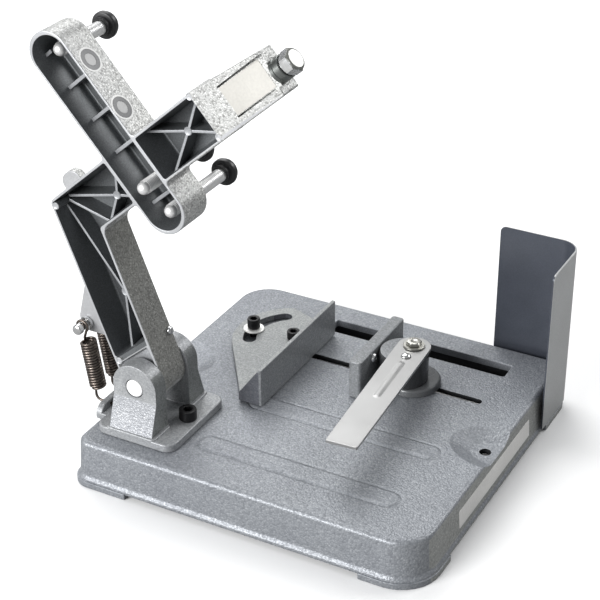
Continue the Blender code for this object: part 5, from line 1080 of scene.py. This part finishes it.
def arm_zone(spot, normal):
    """0 band, 1 pocket in painted shade, 2 rib and lit faces in painted light, 3 leg side in painted shade, 4
    rim in painted highlight, 5 fin and lug.
    """
    flat = Vector((spot.x, spot.z))
    beyond, below = (flat - CROSS).dot(OUT), (flat - CROSS).dot(DOWN)
    up_leg, off_leg = (flat - PIN).dot(LEG_UP), (flat - PIN).dot(LEG_SIDE)
    if normal.y < -0.5 and spot.y < FLOOR - 11:
        if abs(spot.y - ARM_Y + 3.5) < 1 and (off_leg < -LEG_BACK or below < -HALF):
            return 5
        # Cross wall in painted shade, hub face in painted light.
        if up_leg < 30 and FRONT + 1.5 < spot.y < FRONT + 3.5:
            return 1 if spot.y < FRONT + 2.5 else 2
        if spot.y > FRONT + 3.5 and beyond < END_START:
            return 2
        return 4 if beyond < END_START - 0.5 else 0
    if any(inside(ring, spot.x, spot.z) for ring in POCKET_RINGS) and spot.y < FLOOR + 2.5:
        # Pocket faces in painted shade, slot walls in painted light.
        return 2 if abs(beyond) < 5.4 and spot.y > FLOOR + 0.1 else 1
    facing = normal.x * LEG_SIDE.x + normal.z * LEG_SIDE.y
    shaded = facing > 0.8 and up_leg < 150 and 0 < off_leg < LEG_FRONT + 2 and below > HALF + 0.5
    return 3 if shaded else 0


paint_by_face(arm, (BAND_PAINT, POCKET_PAINTED_SHADE, RIB_PAINTED_LIGHT, LEG_PAINTED_SHADE, RIM_PAINTED_HIGHLIGHT, FIN_PAINT), arm_zone)
dress(arm, None, "arm", "arm_paint", "swing_arm")

# %% [markdown]
# The blank plate on the end and two plain round marks on the band stand where labels
# would be. They are thin sheets on the painted faces, without any print. Each mark is
# a ring, a disc and an eye, turned once and placed twice.

# %% Blank plate and round marks
PLATE_FILM = fine_paint("plate_film", (0.5, 0.488, 0.455), 0.4, 0.1, 1.5, 0.05, 0.05)
RING_FILM = fine_paint("ring_film", (0.72, 0.72, 0.71), 0.4, 0.1, 1.2, 0.05, 0.05)
MARK_FILM = fine_paint("mark_film", (0.1, 0.102, 0.105), 0.38, 0.15, 1.2, 0.08, 0.05)
EYE_FILM = fine_paint("eye_film", (0.4, 0.4, 0.4), 0.4, 0.1, 1.2, 0.05, 0.05)
plate_plan = oblong(95.3, -9.2, 128.6, 10.8, 0.8)
label = skin("blank_plate", [[end_face(p.x, p.y, lift) for p in outline(plate_plan, inset)]
                             for inset, lift in ((0, -0.15), (0, 0.2), (0.12, 0.28))])
dress(label, PLATE_FILM, "arm", "arm_paint")
band = at(upper(TRAY, -73.6), -78.4)
offsets = [Vector((0, 0, 0)), DOWN3 * 36.3 + Vector((0, -2.2, 0))]
ring = [(9.0, -0.1), (9.0, 0.12), (8.9, 0.18), (7.7, 0.18), (7.7, -0.1)]
disc = [(7.6, -0.1), (7.6, 0.1), (7.5, 0.16), (4.5, 0.16), (4.4, -0.1)]
eye = [(4.3, -0.1), (4.3, 0.1), (4.2, 0.16), (0, 0.16)]
for name, profile, film, steps, looped in (("mark_rings", ring, RING_FILM, 64, True),
                                           ("mark_discs", disc, MARK_FILM, 64, True),
                                           ("mark_eyes", eye, EYE_FILM, 48, False)):
    pattern = lathe("mark_pattern", profile, band, OUT3, steps, looped)
    dress(repeated(name, pattern, offsets, film), None, "arm", "arm_paint")

# %% [markdown]
# The supports have a rolled thread. It is a spiral that Geometry Nodes sweep with a
# small four-sided profile along the stud's axis, and join to the stud.

# %% Rolled thread


def sweep(tree, path, sides, radius):
    """Round profile swept along a path, with closed ends."""
    profile = node(tree, "GeometryNodeCurvePrimitiveCircle", {"Resolution": sides, "Radius": radius})
    return node(tree, "GeometryNodeCurveToMesh", {"Curve": path, "Profile Curve": profile.outputs[0],
                                                 "Fill Caps": True}).outputs[0]


def thread_tree():
    tree, start = new_tree("thread_on_stud", Turns="Float", Radius="Float", Length="Float", Ridge="Float",
                           Place="Vector", Turn="Vector")
    spiral = node(tree, "GeometryNodeCurveSpiral", {
        "Resolution": 20, "Rotations": start["Turns"], "Start Radius": start["Radius"],
        "End Radius": start["Radius"], "Height": start["Length"]})
    upright = node(tree, "GeometryNodeSetCurveNormal", {"Curve": spiral.outputs[0]}, mode="Z_UP")
    thread = node(tree, "GeometryNodeTransform", {
        "Geometry": sweep(tree, upright.outputs[0], 4, start["Ridge"]), "Translation": start["Place"],
        "Rotation": start["Turn"]})
    both = node(tree, "GeometryNodeJoinGeometry")
    for part in (start["Geometry"], thread.outputs[0]):
        tree.links.new(part, both.inputs[0])
    return end_tree(tree, both.outputs[0], start["Finish"])


THREAD = thread_tree()
print("thread tree:", len(THREAD.nodes), "nodes")

# %% [markdown]
# Three supports pass through the tray's slot. Each is a plated stud with a domed tip,
# and carries a black moulded knob.

# %% Threaded supports
STUD, PITCH, RIDGE = 4.8, 1.5, 0.42
SUPPORTS = {"upper": (-91.1, 20.5, 36.0), "middle": (12.4, 33.8, 42.0), "lower": (34.5, 25.7, 47.5)}
KNOB = [(0, -7), (4.9, -7), (4.9, 0), (6.3, 0), (6.6, -0.3), (6.6, -2.6), (6.9, -3), (8.4, -3.1), (9.1, -3.4),
        (9.55, -4.1), (9.6, -5), (9.6, -6.6), (9.4, -6.9), (9.0, -7.0), (8.9, -8.2), (8.5, -9.1), (7.4, -9.8),
        (5, -10.3), (2.6, -10.3), (0, -10.2)]


def stud_profile(front, back):
    core = STUD - 0.35
    turns = [math.pi / 2 * step / 8 for step in range(9)]
    dome = [(core * math.sin(turn), front - core * 0.9 * (1 - math.cos(turn))) for turn in turns]
    return dome + [(core, -back), (0, -back)]


for name, (down, front, back) in SUPPORTS.items():
    seat = at(upper(0, down), BACK)
    stud = lathe("stud_" + name, stud_profile(front, back), seat, (0, -1, 0), 32)
    length = front + back - 12
    settle(stud, THREAD, Turns=length / PITCH, Radius=(STUD - RIDGE) * MM, Length=length * MM,
           Ridge=RIDGE * MM, Place=world(seat + Vector((0, back - 7.5, 0))), Turn=(math.pi / 2, 0, 0),
           Finish=STUD_STEEL)
    dress(stud, None, "support_" + name, "zinc_steel", "support_stud_" + name)
    mouth = 6.7 - back
    knob = lathe("knob_" + name, [(radius, mouth + height) for radius, height in KNOB], seat, (0, -1, 0), 64)
    dress(knob, BLACK_PLASTIC, "support_" + name, "black_plastic", "support_knob_" + name)

# %% [markdown]
# A plated lock nut holds each support on the back of the tray. A nut is a turned ring
# pressed to a hexagon, so its corners get their round chamfers by themselves.

# %% Lock nuts


def nut_profile(flats, height, bore):
    """Hexagon nut with chamfered corners and a countersunk bore."""
    wide, cone = flats / math.sqrt(3) + 0.2, flats / 2 - 0.1
    drop = (wide - cone) * 0.5
    return [(bore + 0.4, 0), (cone, 0, flats), (wide, drop, flats), (wide, height - drop, flats),
            (cone, height, flats), (bore + 0.4, height), (bore, height - 0.4), (bore, 0.4)]


seats = [at(upper(0, place[0]), BACK + 0.3) for place in SUPPORTS.values()]
nut = lathe("stud_nut", nut_profile(16, 6, 4.9), seats[0], (0, 1, 0), 72, True)
nuts = repeated("stud_nuts", nut, [seat - seats[0] for seat in seats], ZINC)
dress(nuts, None, "arm", "zinc_steel", "stud_nut_upper", "stud_nut_middle", "stud_nut_lower")

# %% [markdown]
# The grinder bolt is kept in the end of the arm: a plated hexagon head with a wide
# chamfer, over a dark spacer. The spring post and a small screw on the leg are
# turned parts too.

# %% Turned parts on the arm
head_profile = [(0, 16.1), (5.9, 16.1), (6.1, 15.95), (6.5, 15.9), (7.2, 15.6, 14.5), (8.5, 14.85, 14.5),
                (8.5, 9.3, 14.5), (7.6, 8.75, 14.5), (7.0, 8.7), (7.0, 8.2), (4, 8.1), (4, -10.2),
                (3.4, -11), (0, -11)]
spacer_profile = [(4.3, -0.2), (7.9, -0.2), (8.2, 0.1), (8.2, 2.2), (7.7, 2.6), (7.7, 3.2), (8.2, 3.6),
                  (8.2, 7.2), (7.9, 7.6), (7.4, 7.8), (4.3, 7.8)]
post_profile = [(0, 17.5), (2.6, 17.4), (3.4, 17.0), (3.8, 16.4), (3.8, 13.4), (3.6, 13.2), (3, 13.1),
                (3, 6.6), (4.9, 6.5), (5.1, 6.2), (5.1, 4.1), (4.9, 3.9), (3, 3.9)]
post_profile += [(radius, -height) for radius, height in post_profile[::-1]]
stop_profile = [(0, 1.7), (0.7, 1.75), (0.8, 2.2), (1.7, 2.15), (2.5, 1.7), (2.95, 0.9), (3, 0.15), (2.9, 0),
                (1.5, 0), (1.5, -3), (0, -3)]


def bolt_zone(spot, normal):
    """0 bright top, 1 sides and shank, 2 chamfer darkened as painted shade."""
    slope, off = normal.dot(OUT3), spot - BOLT_FACE
    if slope > 0.97 and (off - OUT3 * off.dot(OUT3)).length < 5.95:
        return 0
    return 2 if slope > 0.1 else 1


bolt = lathe("grinder_bolt_shell", head_profile, BOLT_FACE, OUT3, 72)
paint_by_face(bolt, (BRIGHT_ZINC, ZINC, CHAMFER_PAINTED_SHADE), bolt_zone)
dress(bolt, None, "arm", "zinc_steel", "grinder_bolt")
spacer = lathe("spacer_shell", spacer_profile, BOLT_FACE, OUT3, 64, True)
dress(spacer, SPACER_STEEL, "arm", "black_oxide", "bolt_spacer")
post = lathe("post_shell", post_profile, at(POST, ARM_Y), (0, -1, 0), 40)
dress(post, ZINC, "arm", "zinc_steel", "spring_post")
stop_seat = at(leg(STOP_UP, LEG_FRONT + 0.3), STOP_Y)
stop = lathe("stop_screw_shell", stop_profile, stop_seat, at(LEG_SIDE, 0), 32)
dress(stop, ZINC, "arm", "zinc_steel", "stop_screw")

# %% [markdown]
# Two tension springs pull the arm up. Each wire hooks into the tab, winds eighteen
# turns and loops over the post. Its path is worked out point by point.

# %% Path of a spring
WIRE, COIL, TURNS, FINE = 0.95, 5.15, 18, 28
HOOK_BEND, HOOK_BACK, HOOK_RISE, ASIDE = 4.2, 10.3, 10.6, 2.3
LOOP = 3.0 + 0.4 + WIRE


def spring_path(y):
    """Middle line of the wire, from the hook in the tab to the loop on the post."""
    hole = Vector((-131.0, HOOK_Z))
    knee = Vector((hole.x - HOOK_BACK + HOOK_BEND, hole.y + HOOK_BEND))
    hook = [hole + Vector((ahead, 0)) for ahead in (5.7, 4.1, 0)]
    hook += [knee + HOOK_BEND * Vector((-math.sin(angle), -math.cos(angle)))
             for angle in [math.pi / 2 * step / 8 for step in range(9)]]
    bottom = hook[-1] + Vector((0, HOOK_RISE - HOOK_BEND))
    axis = (POST - bottom).normalized()
    across = Vector((axis.y, -axis.x))
    top = POST - axis * 10.5
    points = [at(point, y) for point in hook]
    total, lead = TURNS * FINE, FINE // 2
    for step in range(total + 1):
        spread = min(1, (step + 0.5) / lead, (total - step + 0.5) / lead)
        reach = ASIDE + (COIL - ASIDE) * spread * (2 - spread)
        angle = math.pi + 2 * math.pi * step / FINE
        place = bottom + (top - bottom) * step / total + across * (ASIDE + reach * math.cos(angle))
        points.append(at(place, y + reach * math.sin(angle)))
    points.append(at(top + axis * 2 * WIRE, y))
    for step in range(25):
        angle = math.radians(-55 + 12 * step)
        points.append(at(POST + LOOP * (across * math.cos(angle) + axis * math.sin(angle)), y))
    points.append(points[-1] + (points[-1] - points[-2]).normalized() * 2 * WIRE)
    return points


print("spring path:", len(spring_path(ARM_Y)), "points")

# %% [markdown]
# A Geometry Nodes tree sweeps the wire along the path.

# %% Return springs


def wire_tree():
    tree, start = new_tree("wire_on_path", Wire_Radius="Float")
    path = node(tree, "GeometryNodeMeshToCurve", {"Mesh": start["Geometry"]})
    return end_tree(tree, sweep(tree, path.outputs[0], 14, start["Wire Radius"]), start["Finish"])


WIRES = wire_tree()
for name, side in (("near", -1), ("far", 1)):
    points = spring_path(ARM_Y + side * HOOK_Y)
    mesh = bpy.data.meshes.new("spring_" + name)
    links = [(index, index + 1) for index in range(len(points) - 1)]
    mesh.from_pydata([tuple(world(point)) for point in points], links, [])
    spring = settle(add("spring_" + name, mesh), WIRES, Wire_Radius=WIRE * MM, Finish=SPRING_STEEL)
    spring.data.shade_smooth()
    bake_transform(spring)
    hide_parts("return_spring_" + name)
    print(spring.name, len(spring.data.polygons), "faces")

# %% [markdown]
# The fence is a cast angle: a thin wall along the work, a flat foot with an arc slot
# and a gusset at the near end. The foot is rounded about the pivot, so it keeps the
# same margin round the arc.

# %% Fence
FENCE_X, FENCE_LOW, FOOT_TOP, FENCE_TOP = -36.6, 36.5, 40.8, 66.3
FENCE_NEAR, FENCE_FAR, TOE = -32.4, 82.0, 19.0
ARC_HALF, ARC_FIRST, ARC_LAST, ROUND_FROM = 5, math.radians(129), math.radians(208), math.radians(118)
margin = FENCE_ARC + ARC_HALF + 8.5
toe = Vector((FENCE_X - TOE, FENCE_NEAR))
gap = FENCE_PIVOT - toe
touch = math.atan2(gap.y, gap.x) + math.asin(margin / gap.length) + math.pi / 2
fence_plan = [(FENCE_X - 1.2, FENCE_NEAR + 0.6, 0.5), (FENCE_X - 1.2, FENCE_FAR - 0.6, 0.5)]
for step in range(21):
    angle = ROUND_FROM + (touch - ROUND_FROM) * step / 20
    fence_plan.append((*(FENCE_PIVOT + polar(angle, margin)), 0.9))
fence_plan.append((toe.x + 1, toe.y + 0.5, 1.5))
wall_plan = oblong(FENCE_X - 3, FENCE_NEAR, FENCE_X, FENCE_FAR, 0.9, 0.6, 0.6, 0.9)
gusset_plan = [(FENCE_X - 1.2, FENCE_LOW, 0.3), (FENCE_X - 1.2, FENCE_TOP - 1.6, 0.3),
               (FENCE_X - 3.4, FENCE_TOP - 1.8, 1.2), (FENCE_X - TOE, FOOT_TOP + 2.2, 1.6),
               (FENCE_X - TOE, FENCE_LOW, 0.4)]
fence = slab("fence_shell", fence_plan, FENCE_LOW, FOOT_TOP, (0.4, 0.7))
join(fence, [slab("fence_wall", wall_plan, FENCE_LOW, FENCE_TOP, (0.4, 0.8)),
             slab("fence_gusset", gusset_plan, FENCE_NEAR, FENCE_NEAR + 3, (0.6, 0.6), "upright")])
print("fence:", len(fence.data.polygons), "faces")

# %% [markdown]
# The arc slot lets the fence swivel under its clamp screw. Its rim is broken a little.
# The upper faces are painted paler as painted light, and the gusset's near face dark as painted shade.

# %% Arc slot of the fence


def arc_ring(inset, height):
    """Arc slot about the pivot, wider by a negative inset."""
    half = ARC_HALF - inset
    start, end = (FENCE_PIVOT + polar(angle, FENCE_ARC) for angle in (ARC_FIRST, ARC_LAST))
    ring = []
    for middle, reach, first, last, count in (
            (FENCE_PIVOT, FENCE_ARC + half, ARC_FIRST, ARC_LAST, 24),
            (end, half, ARC_LAST, ARC_LAST + math.pi, 12),
            (FENCE_PIVOT, FENCE_ARC - half, ARC_LAST, ARC_FIRST, 24),
            (start, half, ARC_FIRST + math.pi, ARC_FIRST + 2 * math.pi, 12)):
        angles = [first + (last - first) * step / count for step in range(count)]
        ring += [(*(middle + polar(angle, reach)), height) for angle in angles]
    return ring


arc_section = ((0, 34), (0, FOOT_TOP - 0.5), (-0.15, FOOT_TOP - 0.15), (-0.5, FOOT_TOP), (-0.5, FOOT_TOP + 3))
carve(fence, [skin("arc_slot", [arc_ring(*station) for station in arc_section]),
              drill("pivot_hole", (*FENCE_PIVOT, 34), (*FENCE_PIVOT, 44), 3.3)])


def fence_zone(spot, normal):
    """0 wall, 1 upper faces in painted light, 2 near face of the gusset in painted shade."""
    return 1 if normal.z > 0.6 else 2 if normal.y < -0.6 and spot.x < FENCE_X - 3 else 0


paint_by_face(fence, (FITTING_PAINT, FOOT_TOP_PAINTED_LIGHT, GUSSET_PAINTED_SHADE), fence_zone)
dress(fence, None, "fence", "hammered_paint", "fence")

# %% [markdown]
# The socket screws are black oxide. Their heads are turned, with a small edge radius
# and a hexagon socket, and knurled. The two on the bracket are one pattern placed
# twice by the node tree. The fence turns on one screw, and another clamps it through
# a washer in the arc.

# %% Screws and washers


def cap_profile(radius, height, shank, length, key):
    """Socket head screw from the bottom of its socket round to its tip."""
    wide = key / math.sqrt(3) + 0.1
    return [(0, height * 0.42), (wide, height * 0.45, key), (wide, height - 0.25, key), (wide + 0.3, height),
            (radius - 0.7, height), (radius - 0.25, height - 0.15), (radius, height - 0.6), (radius, 0.5),
            (radius - 0.3, 0.1), (radius - 0.6, 0), (shank, 0), (shank, 0.7 - length), (shank - 0.6, -length),
            (0, -length)]


def cap_screw(name, seat, radius, height, shank, length, key, knurl_top):
    """Socket screw with fine grooves pressed into the side of its head."""
    screw = lathe(name, cap_profile(radius, height, shank, length, key), seat, steps=72)
    middle = world(seat)
    for vertex in screw.data.vertices:
        off = vertex.co - middle
        if abs(math.hypot(off.x, off.y) - radius * MM) < 0.02 * MM and 0.3 * MM < off.z < knurl_top * MM:
            groove = round(math.atan2(off.y, off.x) / (math.pi / 36)) % 2
            scale = 1 - 0.035 * groove
            vertex.co = Vector((middle.x + off.x * scale, middle.y + off.y * scale, vertex.co.z))
    return screw


def washer(name, place, finish, rider, replaced):
    profile = [(3.3, 0.15), (3.45, 0), (7.7, 0), (8, 0.3), (8, 0.95), (7.65, 1.3), (3.55, 1.3), (3.3, 1.05)]
    dress(lathe(name, profile, place, steps=56, looped=True), finish, rider, "zinc_steel", replaced)


screw = cap_screw("cap_screw", (*BRACKET_SCREWS[0], PLATE_TOP + 0.3), 6.3, 8, 4, 18.6, 6, 7.6)
offsets = [(x - BRACKET_SCREWS[0][0], 0, 0) for x, y in BRACKET_SCREWS]
dress(repeated("bracket_screws", screw, offsets, BLACK_OXIDE), None, "stand", "black_oxide",
      "bracket_screw_front", "bracket_screw_rear")
for name, place, lift, height in (("fence_pivot", FENCE_PIVOT, 0.3, 6.6),
                                  ("fence_clamp", FENCE_CLAMP, 1.9, 8)):
    screw = cap_screw(name + "_bolt", (*place, FOOT_TOP + lift), 4.9, height, 3, 18, 5, height - 0.4)
    dress(screw, BLACK_OXIDE, "stand", "black_oxide", name + "_screw")
washer("fence_washer", (*FENCE_CLAMP, FOOT_TOP + 0.3), BRIGHT_ZINC, "stand", "fence_clamp_washer")

# %% [markdown]
# The quick vise is a disc on the base and an eccentric drum that turns on it. Two keys
# under the disc run in the T-slot. Both are dark castings with turned faces.

# %% Vise disc and drum
AXIS, BASE_LIFT, DRUM_LOW = Vector((44.5, 48.5)), 35.6, 41.5
CAM, CAM_ROUND = AXIS + polar(math.radians(215), 7), 18
ALONG = polar(LEVER_TURN)
BESIDE = Vector((-ALONG.y, ALONG.x))
RIVET = AXIS + ALONG * 16
disc_profile = [(3.3, 0), (19.9, 0), (20.5, 0.4), (20.5, 3.6), (20.3, 4.6), (19.7, 5.3), (18.8, 5.6),
                (3.3, 5.6)]
disc = lathe("clamp_disc", disc_profile, (*AXIS, BASE_LIFT), steps=96, looped=True)
join(disc, [box("clamp_key", (x, AXIS.y - 3, 33.3), (x + 4, AXIS.y + 3, 38))
            for x in (AXIS.x - 8, AXIS.x + 4)])
dress(disc, DISC_PAINT, "vise", "dark_cast", "clamp_base")
drum_profile = [(0, 0), (17.4, 0), (CAM_ROUND, 0.5), (CAM_ROUND, 20.6), (17.8, 21.7), (17.2, 22.5),
                (16.4, 22.8), (0, 22.8)]
drum = lathe("drum_shell", drum_profile, (*CAM, DRUM_LOW), steps=96)
carve(drum, [drill("cam_hole", (*AXIS, 40), (*AXIS, 66), 3.3),
             drill("rivet_hole", (*RIVET, 56), (*RIVET, 66), 2.3, 24)])
# The drum's upward faces take the paler fitting paint, so it is lighter on top.
paint_by_face(drum, (DRUM_PAINT, FITTING_PAINT), lambda spot, normal: int(normal.z > 0.6))
dress(drum, None, "lever", "dark_cast", "cam_drum")

# %% [markdown]
# A long flat lever of bright steel turns the drum. It has a stamped rib near its eye
# and is riveted to the drum. A plated bolt and washer hold the whole vise.

# %% Lever, rivet and bolt
LEVER_LOW, LEVER_TOP = 64.6, 67.1


def on_lever(along, beside):
    return AXIS + ALONG * along + BESIDE * beside


lever_plan = placed(on_lever, [(-12.5, -12.5, 12.1), (135.4, -11.4, 1.2), (135.4, 11.4, 1.2),
                               (-12.5, 12.5, 12.1)])
crown = [(0, LEVER_LOW + 1)]
crown += [(3.0 * run, LEVER_TOP + 0.5 * run * run * (3 - 2 * run)) for run in [step / 8 for step in range(9)]]
lever = slab("lever_shell", lever_plan, LEVER_LOW, LEVER_TOP, (0.35, 0.4), steps=18)
join(lever, [stack("lever_rib", placed(on_lever, oblong(23.2, -3.4, 75.2, 3.4, 3.3)), crown, steps=10)])
carve(lever, [drill("eye", (*AXIS, 60), (*AXIS, 70), 3.3),
              drill("rivet_eye", (*RIVET, 60), (*RIVET, 70), 2.3, 24)])
dress(lever, LEVER_STEEL, "lever", "bright_steel", "clamp_lever")
rivet_profile = [(0, 1.9), (1.2, 1.85), (2.3, 1.5), (3.2, 0.9), (3.6, 0.25), (3.5, 0), (2, 0), (2, -10.2),
                 (0, -10.2)]
rivet = lathe("rivet_shell", rivet_profile, (*RIVET, LEVER_TOP + 0.3), steps=40)
dress(rivet, ZINC, "lever", "zinc_steel", "lever_rivet")
washer("clamp_washer_shell", (*AXIS, LEVER_TOP + 0.3), BOLT_ZINC, "vise", "clamp_washer")
bolt_profile = [(0, 2.3), (2.2, 2.35), (2.6, 2.6), (4.3, 2.6), (4.8, 2.4, 10), (5.9, 1.9, 10), (5.9, 0.3, 10),
                (5.2, 0, 10), (3, 0), (3, -45), (2.5, -45.9), (0, -45.9)]
bolt = lathe("clamp_bolt_shell", bolt_profile, (*AXIS, LEVER_TOP + 1.9), steps=72)
dress(bolt, BOLT_ZINC, "vise", "zinc_steel", "clamp_bolt")

# %% [markdown]
# The drum pushes the jaw, a thick upright plate, towards the fence. A key under it
# runs in the T-slot too, and a small screw sits in its back.

# %% Jaw
JAW_BACK = CAM.x - CAM_ROUND - 0.3
JAW_SCREW = Vector((JAW_BACK, AXIS.y - 17.5, 59.5))
jaw_plan = oblong(JAW_BACK - 9.7, AXIS.y - 38, JAW_BACK, AXIS.y + 35.5, 2.4)
jaw = slab("jaw_shell", jaw_plan, BASE_LIFT, 65.5, (0.5, 1.2))
join(jaw, [box("jaw_key", (JAW_BACK - 6.5, AXIS.y - 3, 33.3), (JAW_BACK - 1, AXIS.y + 3, 42))])
carve(jaw, [drill("jaw_hole", JAW_SCREW - Vector((5, 0, 0)), JAW_SCREW + Vector((5, 0, 0)), 2.3, 24)])
dress(jaw, FITTING_PAINT, "jaw", "hammered_paint", "vise_jaw")
screw_profile = [(0, 2.0), (0.7, 2.05), (0.8, 2.4), (2.2, 2.35), (3.1, 1.8), (3.6, 1), (3.6, 0.3), (2, 0.3),
                 (2, -4.7), (0, -4.7)]
screw = lathe("jaw_screw_shell", screw_profile, JAW_SCREW, (1, 0, 0), 36)
dress(screw, ZINC, "jaw", "zinc_steel", "jaw_screw")

# %% [markdown]
# The spark guard is one sheet, bent round the back corner of the base. It is drawn as
# a row of thin sections along its length, joined to each other. Its edges are
# broken a little, and its upper corners are round.

# %% Spark guard
SHEET, GUARD_LOW, GUARD_TOP, GUARD_CORNER = 1.5, 7.0, 134.0, 4.5
SIDE_X, BACK_Y, GUARD_BEND = BASE_X + 1.05, BASE_Y + 1.05, 14.05
CORNER_X, CORNER_Y = SIDE_X - GUARD_BEND, BACK_Y - GUARD_BEND
WING, WRAP, REAR = 56 - GUARD_BEND, GUARD_BEND * math.pi / 2, 62 - GUARD_BEND
GUARD_RUN = WING + WRAP + REAR
LAYERS = ((-SHEET / 2, 0.35), (-0.4, 0), (0.4, 0), (SHEET / 2, 0.35))


def guard_column(run):
    """Place in plan along the sheet, and the direction out of it."""
    if run <= WING:
        return Vector((SIDE_X, CORNER_Y - WING + run, 0)), Vector((1, 0, 0))
    if run <= WING + WRAP:
        way = polar((run - WING) / GUARD_BEND).to_3d()
        return Vector((CORNER_X, CORNER_Y, 0)) + GUARD_BEND * way, way
    return Vector((CORNER_X - (run - WING - WRAP), BACK_Y, 0)), Vector((0, 1, 0))


def guard_ring(run):
    """Section across the sheet: along its low edge and back along its high edge."""
    near = min(run, GUARD_RUN - run, GUARD_CORNER)
    fall = GUARD_CORNER - math.sqrt(max(0, GUARD_CORNER ** 2 - (GUARD_CORNER - near) ** 2))
    low, high = [], []
    for lift, rim in LAYERS:
        place, way = guard_column(min(max(run, rim), GUARD_RUN - rim))
        low.append(place + way * lift + Vector((0, 0, GUARD_LOW + rim)))
        high.append(place + way * lift + Vector((0, 0, GUARD_TOP - fall - rim)))
    return low + high[::-1]


rounds = [GUARD_CORNER * (1 - math.cos(math.pi / 2 * step / 8)) for step in range(9)]
stations = rounds + [GUARD_RUN - run for run in rounds] + [WING + WRAP * step / 24 for step in range(25)]
stations = sorted({round(run, 3) for run in stations + [WING / 2, GUARD_RUN - REAR / 2]})
ends = [(layer, layer + 1, 6 - layer, 7 - layer) for layer in range(3)]
guard = skin("guard_sheet", [guard_ring(run) for run in stations], caps=(ends, ends))
carve(guard, [drill("guard_hole", (x, 120, GUARD_SCREW_Z), (x, 140, GUARD_SCREW_Z), 2.8, 24)
              for x in GUARD_SCREWS])
# The inner faces, towards the base, get the dark copy as painted shade.
paint_by_face(guard, (GUARD_PAINT, GUARD_PAINTED_SHADE), lambda spot, normal: int(normal.x + normal.y < -0.5))
dress(guard, None, "stand", "guard_paint", "spark_guard")

# %% [markdown]
# Two round-head screws hold the guard to the back wall. They are one pattern, placed
# twice.

# %% Guard screws
screw_profile = [(0, 2.4), (0.9, 2.45), (1.0, 3), (2.9, 2.9), (4.0, 2.2), (4.6, 1.2), (4.6, 0.2), (4.4, 0),
                 (2.5, 0), (2.5, -16.6), (2, -16.9), (0, -16.9)]
screw = lathe("guard_screw", screw_profile, (GUARD_SCREWS[0], BASE_Y + 2.1, GUARD_SCREW_Z), (0, 1, 0), 40)
offsets = [(x - GUARD_SCREWS[0], 0, 0) for x in GUARD_SCREWS]
dress(repeated("guard_screws", screw, offsets, ZINC), None, "stand", "zinc_steel",
      "guard_screw_outer", "guard_screw_inner")

# %% [markdown]
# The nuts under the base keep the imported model's own shapes. They only get the
# plated finish.

# %% Nuts that stay as packed
kept = ("bracket_nut_front", "bracket_nut_rear", "fence_nut_clamp", "fence_nut_pivot", "guard_nut_inner",
        "guard_nut_outer", "clamp_nut")
for name in kept:
    slots = frame["nodes"][name].data.materials
    slots.clear()
    slots.append(ZINC)
print("kept nuts:", len(kept))
